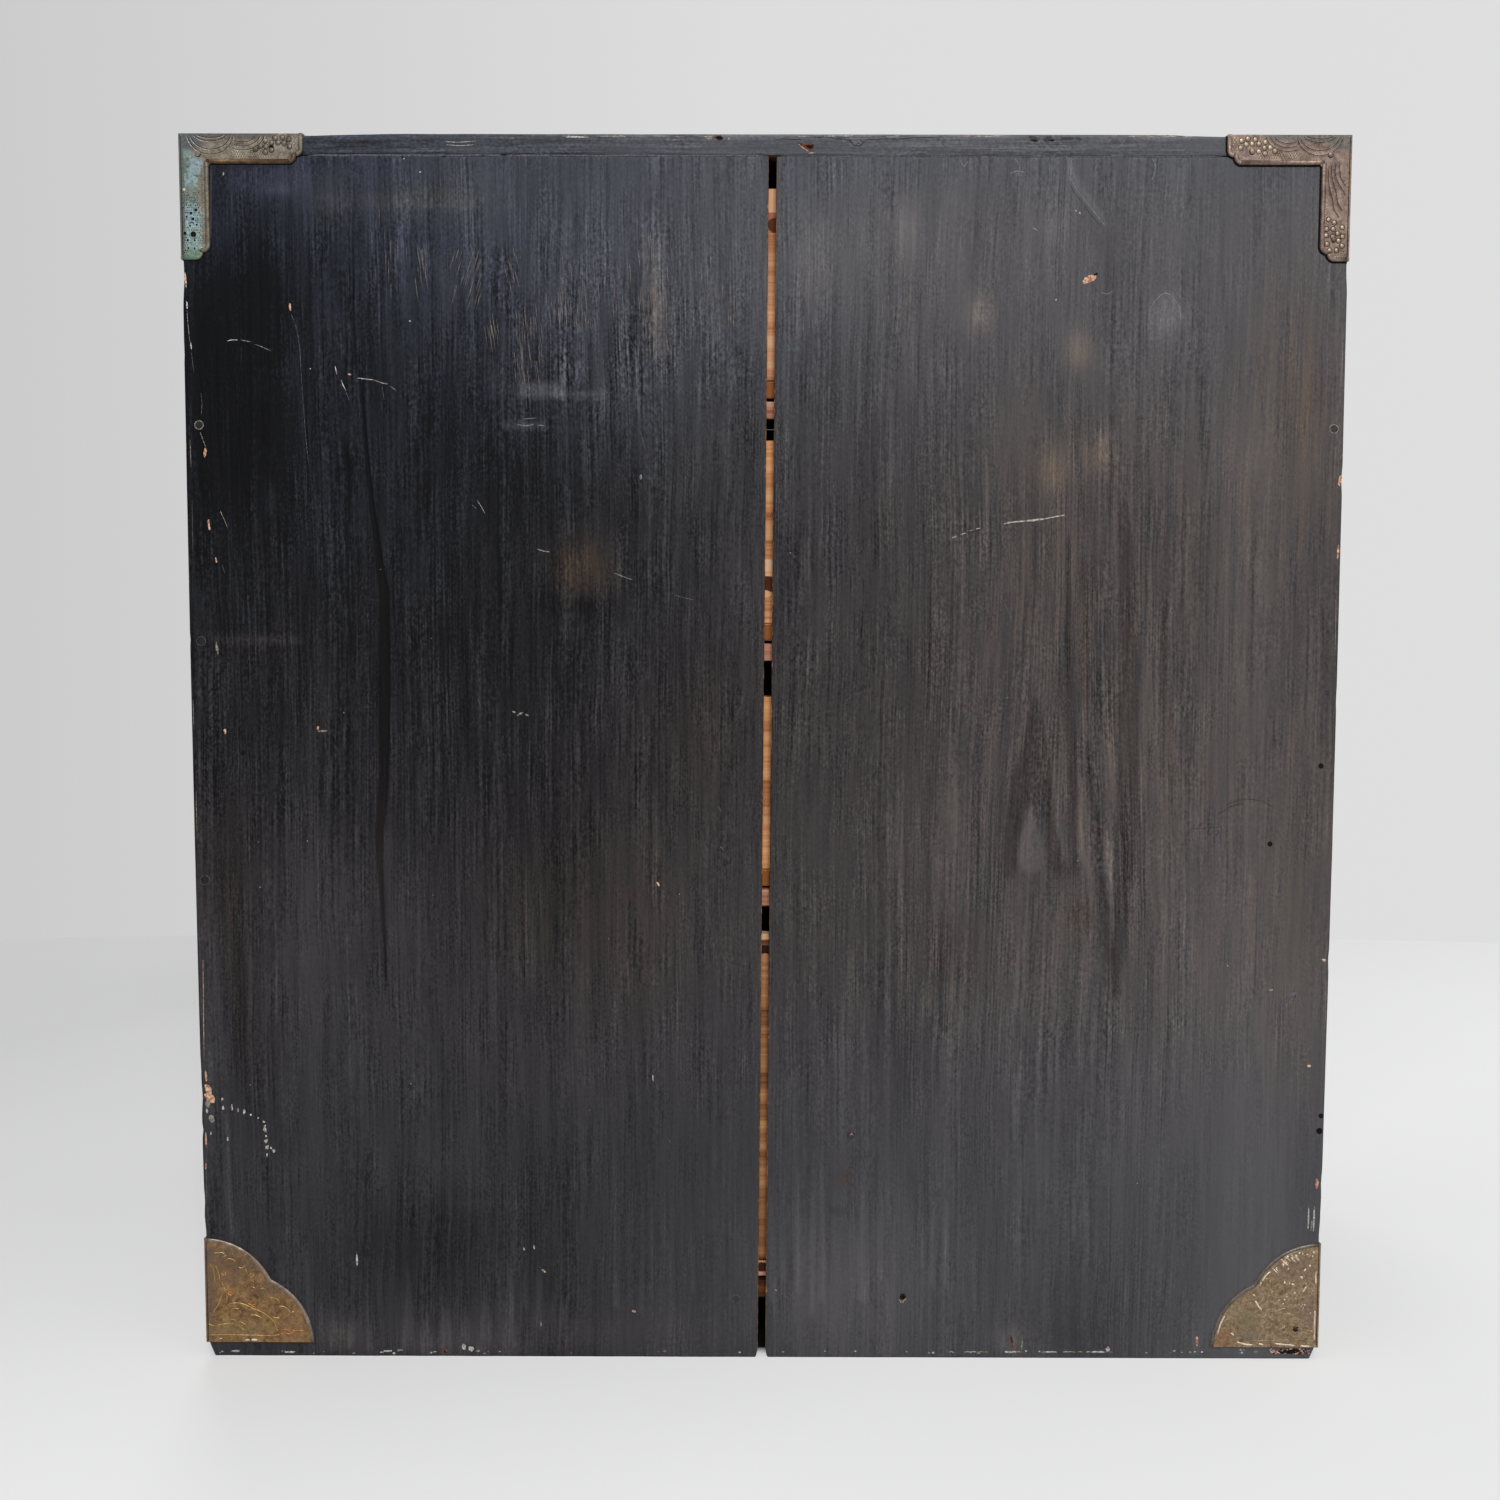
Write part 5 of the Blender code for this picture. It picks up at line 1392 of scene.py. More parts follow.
def plate_place(corner, along_u, along_v, outward):
    """Gives the place at (u, v) on a plate, at a height in mm above its outer face."""
    corner, along_u, along_v, outward = (Vector(way) for way in (corner, along_u, along_v, outward))

    def put(u, v, high):
        return corner + (along_u * u + along_v * v + outward * (SHEET + high)) * MM

    return put


def folded_fitting(name, corner, plates, finishes):
    """Brass sheet folded round a corner, with its chased work standing on it."""
    work = bmesh.new()
    raised = bmesh.new()
    for edge, chase, along_u, along_v, outward in plates:
        put = plate_place(corner, along_u, along_v, outward)
        face = work.faces.new([work.verts.new(put(u, v, -SHEET)) for u, v in [(0.0, 0.0)] + edge])
        face.normal_update()
        if face.normal.dot(Vector(outward)) < 0:
            face.normal_flip()
        chase(raised, put)
    bmesh.ops.remove_doubles(work, verts=work.verts, dist=0.01 * MM)
    mesh = bpy.data.meshes.new(name + "_sheet")
    work.to_mesh(mesh)
    work.free()
    sheet = finish_piece(name + "_sheet", mesh, finishes[:1], "carcass", name)
    thick = sheet.modifiers.new("sheet", "SOLIDIFY")
    thick.thickness = SHEET * MM
    thick.offset = 1.0
    thick.use_even_offset = True
    soft = sheet.modifiers.new("soft_edges", "BEVEL")
    soft.width = 0.13 * MM
    soft.segments = 2
    soft.limit_method = "ANGLE"
    raised_piece(raised, name + "_chasing", finishes[1:], "carcass")


def plain_tacks(work, put, places):
    """The drawer side's narrow lips and strips carry only tacks."""
    for place in places:
        bead(work, put, place, 1.05, BEAD_HIGH, TACK, sides=14)


def fitting_finishes(sheet, level_rim, upright_rim, line):
    """A fitting's sheet, then the finishes of its chasing by their numbers."""
    wear = [HOLE_DIRT_AND_SHADE, IRON_TACK, sheet, COPPER_RUB, BRIGHT_SCRAPE, CHASING_GRIME_AND_SHADE]
    return [sheet, level_rim, upright_rim, line] + wear


def corner_fittings():
    """Eight fittings: an L over each upper corner and a quarter plate round each foot."""
    brown = fitting_finishes(BROWN_BRASS, BROWN_RIM, BROWN_RIM, BEAD_BRASS)
    green = fitting_finishes(GREEN_BRASS, GOLD_RIM, TAUPE_RIM, GREEN_LINE)
    gold = fitting_finishes(GOLD_BRASS, GREY_RIM, GREY_RIM, GOLD_LINE)
    olive = fitting_finishes(OLIVE_BRASS, TAUPE_RIM, TAUPE_RIM, GOLD_LINE)
    lip = (lip_edge(), partial(plain_tacks, places=((4.0, 30.0), (30.0, 3.6))))
    strip = (strip_edge(), partial(plain_tacks, places=((3.8, 8.0), (3.8, 32.0))))
    up, down = (0, 0, 1), (0, 0, -1)
    for side, hand in SIDES:
        inward, side_out = (-hand, 0, 0), (hand, 0, 0)
        x = hand * (SIDE_X + SEAT * MM)
        for end, way in (("front", -1), ("back", 1)):
            at_back = way > 0
            y = BACK_Y + SEAT * MM if at_back else FRONT_Y - SEAT * MM
            end_out, to_middle = (0, way, 0), (0, -way, 0)
            crusted, worn = at_back and hand > 0, at_back and hand < 0
            back_angle = (angle_edge(), chase_green_back if crusted else chase_brown_back)
            folded_fitting(
                f"top_{end}_{side}_fitting",
                (x, y, TOP_HIGH.z + SEAT * MM),
                (
                    (*(back_angle if at_back else lip), inward, down, end_out),
                    (angle_edge(), chase_angle, to_middle, down, side_out),
                    (angle_edge(), chase_angle, inward, to_middle, up),
                ),
                green if crusted else brown,
            )
            # the foot plate at the photograph's left sits a little higher
            foot = FOOT + 0.9 if crusted else FOOT
            back_quarter = (quarter_edge(), partial(chase_quarter, worn=worn))
            folded_fitting(
                f"foot_{end}_{side}_fitting",
                (x, y, foot * MM),
                (
                    (*(back_quarter if at_back else strip), inward, up, end_out),
                    (quarter_edge(), partial(chase_quarter, worn=False), to_middle, up, side_out),
                ),
                olive if worn else gold,
            )


# Small wear on the back, placed in the photograph's pixels


def back_place(u, v, high):
    """The place on the back at a photograph's pixel, at a height in mm."""
    x, z = on_back(u, v)
    return Vector((x, BACK_Y + high * MM, z))


def flake(draw, x, y, long, wide, turn):
    """An uneven outline round a place, longer one way than the other."""
    outline = []
    tilt = radians(turn)
    for side in range(9):
        angle = 2 * pi * (side + draw(-0.3, 0.3)) / 9
        reach = draw(0.72, 1.12)
        a, b = long * reach * cos(angle), wide * reach * sin(angle)
        outline.append((x + a * cos(tilt) - b * sin(tilt), y + a * sin(tilt) + b * cos(tilt)))
    return outline


def dash(x, y, long, bend, drop):
    """A short level line that bends in its middle and ends a little lower."""
    return [(x, y), (x + long / 2, y + bend), (x + long, y + drop)]


# finishes of the wear; the tables give them by number
TORN, CHALKED, PALE, DIRT_AND_SHADE, RUSTY, GREY, PEG, DARK, HAIR, MILKY = range(10)
WEAR = [
    TORN_WOOD, CHALK, PALE_SCUFF, HOLE_DIRT_AND_SHADE, RUST_CHIP, GREY_SCUFF,
    PEG_END, DARK_LINE, DRY_HAIR, MILKY_SCUFF,
]
# x, y, half length, half width, turn in degrees, finish
FLAKES = (
    (290, 307, 5, 1.2, 86, 0), (205, 453, 5.5, 2, 96, 0), (209, 525, 6, 1.3, 84, 0),
    (216, 560, 3, 1.1, 80, 0), (217, 648, 7, 1.3, 80, 2), (225, 731, 2.8, 1.5, 80, 0),
    (323, 731, 5.5, 1.2, -4, 2), (318, 728, 1.4, 2.2, 0, 0), (520, 714, 4, 1.2, -25, 2),
    (514, 712, 1.8, 1, 20, 2), (527, 715, 2.4, 1, 30, 2), (641, 477, 1.2, 3, 0, 2),
    (658, 884, 3.4, 1, 60, 0), (1090, 279, 9, 3.6, -24, 0), (1096, 274, 3, 1.2, -30, 3),
    (1086, 280, 2, 0.8, -60, 4), (1035, 229, 3, 1, 30, 2), (185.5, 279, 8.5, 1.2, 86, 0),
    (187, 305, 4.5, 0.9, 86, 1), (191, 346, 3.5, 0.9, 84, 1), (206, 1076, 7.5, 1.5, 84, 0),
    (208, 1090, 6.5, 3.4, 70, 0), (210, 1098, 7.5, 4.6, 50, 0), (208, 1103, 5, 2.8, 90, 2),
    (207, 1111, 3, 1.2, 90, 1), (212, 1119, 4.2, 3, 60, 2), (206, 1140, 8, 1.1, 88, 0),
    (206, 1166, 3.5, 1, 88, 0), (1340, 480, 7, 1.7, 100, 0), (1338, 552, 9, 1.1, 92, 0),
    (1317, 1184, 6.5, 1.8, 95, 0), (1308.5, 1218, 12, 0.9, 93, 1), (1314, 1218, 14, 1.1, 93, 1),
    (1311.5, 1226, 7, 0.8, 95, 2), (1324, 960, 2.6, 1.6, 20, 0), (1271, 990, 2.2, 1.3, 10, 2),
    (1295, 995, 4, 3.8, 0, 5), (1309, 1066, 2.4, 1.5, 10, 0), (445, 1351, 3.6, 2.2, 10, 4),
    (464, 1347, 2.4, 3.4, 10, 1), (471, 1349, 3, 2.6, 0, 1), (478, 1351, 3, 1.2, 0, 2),
    (235, 1351, 5, 1.4, 0, 1), (290, 1352, 6, 1.2, 0, 1), (388, 1351, 5, 1.2, 0, 1), (400, 1350, 4, 1, 0, 2),
    (1010, 1352, 7, 1.2, 0, 1), (1050, 1352, 9, 1, 0, 1), (1098, 1352, 8, 1.2, 0, 1),
    (709, 138.4, 4, 1.3, 0, 2), (719, 138, 4.8, 2.8, 0, 4), (719.3, 137.8, 4.2, 2.2, 0, 3),
    (729, 139, 1, 1.6, 0, 1), (857, 143, 5.5, 2.8, 0, 5), (1034, 140.8, 4.6, 1.1, 4, 3),
    (1052, 140.4, 4, 0.9, -4, 3), (402, 157, 1.6, 1.1, 0, 3), (379, 156.6, 1.2, 0.9, 0, 3),
    (420, 172, 1.2, 1, 0, 1), (410, 321, 1.2, 0.9, 40, 1), (1076, 211, 1.4, 0.9, 20, 1),
    (1080, 213, 1.4, 0.8, 60, 1), (349.5, 374.5, 2, 1.1, 10, 0), (812, 153, 5, 0.8, 0, 2),
    (1056, 300, 1, 1, 0, 1), (653, 1078, 3.4, 0.8, 84, 1), (544, 1271, 2.6, 1.2, 30, 0),
    (541, 1324, 3, 0.9, 84, 2), (634, 1311, 2.4, 1.6, 20, 0), (357, 1260, 6, 1.2, 88, 1),
    (534, 1247, 2.4, 0.8, 80, 1), (524, 1249, 1.6, 0.8, 70, 1), (776, 1290, 1.4, 1, 60, 2),
    (1197, 1341, 6.5, 1.3, 88, 0), (1012, 1342, 7, 1.2, 80, 4), (1022, 1345, 6, 1, 95, 2),
    (1290, 1351.5, 13, 2.6, -4, 3), (1272, 1351, 2.4, 1.4, 0, 1), (1242, 1350, 3, 1.4, 0, 2),
    (1256, 1352, 2.4, 1.4, 0, 2), (1108, 1349, 2.4, 2.6, 0, 1), (444, 156.3, 2.2, 0.7, 0, 3),
    (483, 155.6, 1.6, 0.7, 0, 3), (504, 155.2, 4, 0.7, 0, 3), (404, 158.6, 1, 0.6, 0, 1),
    (223.4, 173.8, 2, 0.9, 90, 1), (1034, 138.4, 6, 2.6, 20, 7), (1048, 139, 6, 3, -10, 7),
    (1068, 138.2, 8, 1.7, 0, 7), (1078, 138.6, 4, 1.8, 10, 7), (576, 137, 14, 0.9, 0, 1),
    (616, 136.6, 9, 0.8, 0, 2), (1274, 1352, 3.6, 1.8, 0, 0), (1286, 1352.4, 4, 1.2, -6, 4),
    (1299, 1351.6, 4, 1.2, 6, 4),
)
# the torn wedge beside the slit's head, as an outline
WEDGE = (
    (796, 142.4), (804, 143.4), (811, 143.8), (814.5, 144.6), (813.5, 149), (809.5, 151.6), (803, 147.6),
)
# splashes of white paint: x, y, half width, half height
DROPS = (
    (222, 1099, 1.3, 1.9), (223, 1108, 1.8, 2.4), (232, 1107, 1.5, 4), (238, 1110, 1, 2.2),
    (244, 1111, 1.4, 3.4), (251, 1115, 1.5, 1.3), (258, 1118, 1, 1), (264, 1122, 1.5, 1.4),
    (265, 1126, 1.3, 1.2), (265, 1130, 1.8, 3), (266, 1136, 1.2, 1.6), (266, 1141, 2.3, 3),
    (267, 1147, 2.3, 2.2), (271, 1148, 1, 1.6), (274, 1151, 2.2, 2), (267, 1155, 1, 2.4),
    (211, 1133, 0.8, 2.6), (228, 1139, 1, 2.8),
)
# path of (x, y), width, finish
SCRATCHES = (
    (((227, 341), (232, 340), (238, 340)), 1, 1), (((241, 340), (246, 341), (251, 342)), 1, 2),
    (((254, 344), (262, 347), (271, 351)), 0.7, 2), (((335, 366), (337, 375)), 1, 1),
    (((341, 380), (343, 385), (346, 391)), 1.2, 1), (((346, 392), (350, 402)), 0.6, 5),
    (((357, 378), (366, 379), (374, 380)), 1, 1), (((374, 380), (382, 383), (388, 384)), 1.2, 2),
    (((390, 386), (397, 391)), 0.9, 2), (((382, 386), (384, 400)), 0.6, 5),
    (((537, 549), (543, 551), (550, 552)), 1.3, 2), (((614, 573), (624, 577), (633, 580)), 0.9, 2),
    (((675, 595), (685, 598), (694, 600)), 0.8, 5), (((1003, 524), (1014, 522), (1026, 521)), 1.6, 1),
    (((1026, 521), (1036, 520), (1044, 519)), 2.4, 1), (((1044, 519), (1054, 517), (1065, 515)), 1.4, 1),
    (((1006, 523), (1012, 521)), 1, 2), (((952, 538), (957, 536)), 1.2, 1),
    (((960, 535), (966, 533)), 1.1, 1), (((969, 531), (973, 530)), 1, 2), (((976, 529), (980, 528)), 1, 1),
    (((1260, 486), (1282, 478), (1312, 468)), 1, 5), (((472, 505), (477, 509)), 0.9, 5),
    (((477, 500), (482, 508), (485, 514)), 0.9, 2),
    (((291, 314), (295, 324), (298, 336), (300, 352), (301, 372)), 0.55, 5),
    (((187, 310), (188, 325), (190, 343)), 0.8, 2), (((191, 350), (194, 374)), 0.6, 5),
    (((201, 393), (202, 405), (201, 416)), 0.6, 5), (((200, 432), (203, 440), (206, 448)), 0.8, 2),
    (((798, 143.4), (803, 147.8), (809, 151.6)), 0.9, 1), (((357, 1252), (356, 1266)), 1.2, 5),
    (((1045, 884), (1052, 879), (1060, 878), (1065, 880)), 0.8, 7), (((1065, 879), (1068, 890)), 0.8, 5),
    (((1045, 885), (1054, 888), (1062, 885)), 0.7, 7),
    (((780, 698), (790, 682), (803, 671), (820, 656)), 0.8, 7),
    (((820, 656), (837, 642), (853, 638)), 0.8, 7),
    (((788, 864), (803, 852), (818, 843), (837, 832)), 0.8, 7),
    (((1219, 814), (1230, 807), (1243, 803)), 1.4, 7),
    (((1226, 805), (1236, 801), (1247, 799), (1262, 801)), 0.9, 7), (((1262, 801), (1276, 809)), 0.7, 7),
    (((1190, 829), (1205, 828), (1222, 827)), 0.9, 7), (((1205, 834), (1222, 834)), 0.8, 7),
    (((718, 806), (722, 813)), 0.9, 5), (((720, 846), (725, 852)), 1.4, 5),
    (((478, 698), (481, 708)), 0.8, 5), (((1001, 596), (1007, 609), (1014, 624)), 0.7, 5),
    (((1066, 696), (1070, 702)), 0.8, 5), (((193, 700), (194, 730)), 0.7, 2),
    (((196, 790), (197, 840)), 0.6, 2), (((190, 440), (191, 468)), 0.7, 2),
    (((192, 500), (193, 560)), 0.6, 5), (((1343, 330), (1342, 380)), 0.6, 2),
    (((1336, 600), (1335, 660)), 0.6, 2), (((1330, 800), (1329, 850)), 0.6, 5),
    (((1326, 980), (1325, 1030)), 0.6, 2), (((203, 960), (204, 1060)), 0.8, 0),
    (((206, 1150), (207, 1215)), 0.7, 5), (((640, 430), (646, 452)), 0.7, 5),
    (((1069, 176), (1077, 190), (1086, 202), (1095, 213), (1106, 227)), 0.9, 9),
    (((1068, 181), (1075, 193), (1084, 205), (1093, 217), (1103, 229)), 0.7, 7),
    (((1149, 322), (1151, 308), (1158, 298), (1166, 293), (1174, 299), (1180, 310), (1181, 326)), 1.1, 9),
    # the lines of finish 3 along y 137 to 143, here and below, are painted shadow under the top board's
    # chipped pale lip
    (((211, 165), (210.8, 205), (210.4, 244)), 2, 7), (((780, 138.6), (793, 139.4), (802, 139.2)), 0.9, 3),
    (((825, 137.6), (838, 138.6), (848, 140), (852, 143)), 0.9, 3),
    (((864, 140.2), (880, 139), (897, 139)), 1, 3), (((897, 139), (915, 137.8), (936, 137.4)), 0.9, 3),
    (((936, 137.4), (941, 141), (945, 147)), 0.8, 7), (((1014, 158), (1020, 166), (1018, 176)), 1, 9),
    (((1010, 174), (1018, 171), (1026, 173)), 1.2, 9), (((960, 160), (964, 166), (968, 161)), 1, 9),
    (((1100, 292), (1107, 294), (1113, 291)), 0.9, 9), (((517, 424), (526, 426), (534, 424)), 1.2, 9),
    (((538, 425), (545, 426)), 1, 9), (((523, 419), (536, 418)), 0.9, 9),
    (((445, 141.6), (458, 142.2), (474, 141.2)), 0.9, 1),
    (((446, 144.6), (460, 145.6), (474, 144.6)), 0.9, 1), (((475, 138.6), (476, 143)), 0.8, 2),
    (((220, 511), (224, 519), (228, 529)), 0.7, 2), (((222, 565), (225, 574)), 0.7, 5),
    (((301, 372), (303, 400), (306, 440), (309, 467)), 0.5, 5), (((944, 137.6), (942, 146)), 0.8, 7),
    (((995, 137.8), (999, 149)), 0.8, 7), (((1152, 158), (1156, 168), (1151, 182)), 1, 9),
    (((850, 139.6), (852, 143.6), (857, 146.2), (862, 144.4), (864, 141.4)), 0.9, 3),
)
# patches of dry-brushed hairs: x, y, half width, half height, lean to the right going down, how many
DRY_BRUSH = (
    (422, 278, 6, 38, 0.14, 12), (466, 278, 14, 35, -0.3, 22), (513, 279, 8, 33, 0.2, 10),
    (493, 329, 7, 28, 0.15, 10), (528, 345, 14, 47, 0.1, 42), (556, 308, 10, 21, 0.1, 8),
    (580, 297, 21, 47, 0.08, 44), (622, 297, 13, 40, 0.05, 14), (657, 300, 19, 71, 0.05, 58),
    (700, 277, 17, 31, 0.05, 14), (390, 256, 20, 66, 0, 12), (720, 330, 20, 50, 0, 16),
    (805, 300, 10, 50, 0, 10), (892, 285, 14, 55, 0, 18),
)
# x, y, radius
HOLES = ((243, 753, 2.6), (1270, 844, 2.6), (1321, 766, 2.7), (1321, 1116, 2.5), (1319.5, 1131, 3.2))
# x, y, radius, finish of the ring
PEGS = (
    (199, 425, 4.3, 2), (201, 641, 4.6, 5), (205, 880, 4.6, 5), (1334, 429, 4.3, 2), (1327, 693, 3.4, 5),
    (851, 1135, 3.6, 4), (903, 1298, 3.4, 4), (736, 1299, 4.2, 5),
)
# bare wood on the lower lips of two sunk pegs, painted as highlights where it catches the light: the path,
# its width, finish
GLINTS = (
    (((849.4, 1136.2), (851.4, 1133.4), (853.6, 1136)), 3, 2),
    (((899.2, 1299.4), (901.2, 1302.2), (903.6, 1302.8)), 2.2, 0),
    (((901, 1300.2), (903.4, 1301.2), (905.4, 1299.6), (906.4, 1297.6)), 2.4, 2),
)


def drawn_wear(line, dot, flat, draw):
    """Flakes, splashes, hairs, scratches, holes and peg ends, where the tables place them."""
    for x, y, long, wide, turn, finish in FLAKES:
        flat(flake(draw, x, y, long, wide, turn), 0.18 if finish == DIRT_AND_SHADE else 0.1, finish)
    flat(WEDGE, 0.06, RUSTY)
    flat([(0.6 * x + 324.6, 0.6 * y + 58.6) for x, y in WEDGE], 0.1, DIRT_AND_SHADE)
    for x, y, wide, high in DROPS:
        outline = []
        for across, down in spokes(8):
            reach = draw(0.55, 1.15)
            outline.append((x + wide * reach * across, y + high * reach * down))
        flat(outline, 0.14, CHALKED)
    for x, y, half_wide, half_high, lean, count in DRY_BRUSH:
        for hair in range(count):
            long = draw(8, 26)
            u, v = x + half_wide * draw(-1, 1), y + (half_high - long / 2) * draw(-1, 1)
            bend = draw(-0.4, 0.4)
            path = [(u - lean * long / 2, v - long / 2), (u + bend, v), (u + lean * long / 2, v + long / 2)]
            line(path, draw(0.6, 1.1), 0.02, HAIR)
    for path, wide, finish in SCRATCHES:
        line(flow(path, 3), wide, 0.05, finish)
    for x, y, radius in HOLES:
        dot((x, y), radius, 0.04, DIRT_AND_SHADE, sides=12)
    for x, y, radius, finish in PEGS:
        # on the paler board a peg end is hardly darker than the wood
        dot((x, y), radius, 0.06, PEG if x < 700 else DARK, sides=16)
        ring = [(x + radius * across, y + radius * down) for across, down in spokes(16)]
        line(ring, 1.1 if finish == PALE else 0.55, 0.12, finish, closed=True)
    dot((902.8, 1296.6), 3.2, 0.1, DIRT_AND_SHADE, sides=12)
    # painted highlights on the lower lips of the two sunk pegs
    for path, wide, finish in GLINTS:
        line(path, wide, 0.16, finish)


def scattered_wear(line, dot, draw, pick):
    """Specks, seam, torn grains, splashes, chips and rubs, scattered by chance."""
    # paint specks, none over the slit
    for speck in range(28):
        x, y = draw(215, 1310), draw(170, 1330)
        if 752 < x < 785:
            continue
        radius = draw(0.4, 0.8)
        dot((x, y), radius, 0.05, pick((CHALKED, PALE, PALE, GREY)), sides=6)
    # the broken pale line of the seam under the top board
    for start, end in ((-176, -6), (-0.8, 176)):
        seam = np.array([(x * MM, BACK_Y, TOP_LOW.z - 0.15 * MM) for x in np.linspace(start, end, 40)])
        path = [(u, v + draw(-0.25, 0.25)) for u, v in zip(*photo_pixels(seam))]
        line(path, 2.0, 0.02, GREY)
        if start < -100:
            line([(u, v - 0.5) for u, v in path], 0.8, 0.04, DARK)
    for run in range(26):
        x, long = draw(305, 1225), draw(4, 18)
        if x < 745 or x > 795:
            line(dash(x, 155.6, long, -0.4, 0), 0.8, 0.03, pick((PALE, GREY, GREY)))
    # torn grains at the worn corner, and splashes of paint along the foot
    for grain in range(80):
        spot = (draw(1270, 1310), draw(1348.8, 1354.0))
        dot(spot, draw(0.5, 1.3), 0.16, pick((TORN, TORN, PALE, DIRT_AND_SHADE, RUSTY)), sides=6, squash=0.8)
    for splash in range(44):
        spot = (draw(212, 1262), draw(1351.0, 1353.4))
        radius, squash = draw(0.5, 1.7), draw(0.4, 0.8)
        dot(spot, radius, 0.05, pick((CHALKED, CHALKED, PALE)), sides=7, squash=squash)
    # chips along the upper edge of the top board
    for chip in range(44):
        x, y, long = draw(470, 1212), draw(135.6, 140.0), draw(2, 9)
        path = dash(x, y, long, draw(-0.6, 0.6), draw(-0.8, 0.8))
        line(path, draw(0.7, 1.8), 0.03, pick((PALE, GREY, MILKY, DARK, DIRT_AND_SHADE)))
    # the arris itself is rubbed pale in long runs
    for rub in range(64):
        start, end = pick(((545, 700), (775, 990), (775, 990), (1110, 1180)))
        x, y, long = draw(start, end), draw(135.5, 136.9), draw(5, 18)
        path = dash(x, y, long, draw(-0.3, 0.3), draw(-0.4, 0.4))
        line(path, draw(0.8, 1.6), 0.03, pick((PALE, PALE, GREY, CHALKED)))
    # dabs of paint along the left board's foot
    for dab in range(18):
        x, long = draw(930, 1112), draw(3, 12)
        line(dash(x, 1352.2, long, -0.5, 0.1), draw(0.8, 1.5), 0.05, pick((CHALKED, CHALKED, PALE)))


def back_wear():
    """Small wear on the back boards and on the back edge of the top board."""
    work = bmesh.new()
    chance = random.Random(7)
    line, dot, flat = (partial(make, work, back_place) for make in (ridge, bead, lens))
    drawn_wear(line, dot, flat, chance.uniform)
    scattered_wear(line, dot, chance.uniform, chance.choice)
    raised_piece(work, "back_wear", WEAR, "carcass")


def case_wear():
    """Knocked arrises and thin scratches on the sides and the top, as on the back, in mm on each face."""
    work = bmesh.new()
    chance = random.Random(11)
    draw, pick = chance.uniform, chance.choice
    deep, tall, wide = (BACK_Y - FRONT_Y) / MM, TOP_LOW.z / MM, SIDE_X / MM

    def on_side(hand, u, v, high):
        """The place on a side, u mm behind the front and v mm up."""
        return Vector((hand * (SIDE_X + high * MM), FRONT_Y + u * MM, v * MM))

    def on_top(u, v, high):
        """The place on the top, u mm behind the front and v mm from the middle."""
        return Vector((v * MM, FRONT_Y + u * MM, TOP_HIGH.z + high * MM))

    for put, start, end in (
        (partial(on_side, -1), 50, tall - 55), (partial(on_side, 1), 50, tall - 55),
        (on_top, 55 - wide, wide - 55),
    ):
        for knock in range(10):
            spot = (draw(0.9, 1.7), draw(start, end))
            outline = flake(draw, *spot, draw(0.8, 3.4), draw(0.3, 0.6), 90)
            lens(work, put, outline, 0.06, pick((TORN, PALE, PALE, GREY)))
        for scratch in range(15):
            u, v = draw(15, deep - 30), draw(start, end)
            long, turn = draw(5, 34), draw(-0.5, 0.5) + pick((0, 0.5)) * pi
            run_u, run_v = long * cos(turn) / 2, long * sin(turn) / 2
            bend = draw(-1.2, 1.2)
            line = flow([(u - run_u, v - run_v), (u + bend, v + bend), (u + run_u, v + run_v)])
            if all(12 < a < deep - 14 for a, b in line):
                ridge(work, put, line, draw(0.22, 0.4), 0.03, pick((PALE, GREY, GREY, GREY)))
        for speck in range(12):
            spot = (draw(10, deep - 14), draw(start, end))
            outline = flake(draw, *spot, draw(0.4, 1.3), draw(0.25, 0.5), draw(0, 180))
            lens(work, put, outline, 0.05, pick((CHALKED, PALE, DIRT_AND_SHADE, GREY)))
    raised_piece(work, "case_wear", WEAR[:GREY + 1], "carcass")


# Handles, in mm

POST_X = 50.0
EYE_WIRE, EYE_RING = 1.4, 3.8
BAIL_DROP, BAIL_LEG, BAIL_SHOULDER, BAIL_CORNER = 32.0, 58.5, 4.5, 14.0
PIN, GRIP, KNOB = 2.0, 2.9, 2.98
# radii along half the grip: x, radius
GRIP_TURNING = (
    (36, 2.7), (28, 2.5), (20, 2.55), (12, 2.7), (9.2, 2.72), (8.6, 2.9), (7.8, 2.9), (7.2, 2.75), (4, 2.85),
)
# the turned shank of a post: depth behind the eye, radius
SHANK = ((3.4, 1.3), (4.6, 1.7), (5.0, 2.0), (5.6, 2.0), (6.0, 1.8))
PETALS = 12
# a rosette from its hole to its rim: radius, height, how deep the valleys between the petals are there
PETAL_RINGS = (
    (2.3, 0.0, 0), (2.3, 2.55, 0), (3.2, 2.5, 0), (3.9, 1.9, 0.1), (4.6, 1.7, 0.5), (6.0, 2.0, 0.9),
    (7.6, 1.9, 1.0), (9.2, 1.45, 1.0), (10.4, 0.95, 0.9), (11.0, 0.8, 0.6), (11.4, 0.5, 0.5),
    (11.4, 0.0, 0.5),
)


def handle_piece(work, node_name, made, body):
    """Makes a piece of a handle that stands for a CAD node; made says how it was made."""
    raised_piece(work, f"{node_name}_{made}", [HANDLE_BRASS], body, node_name)


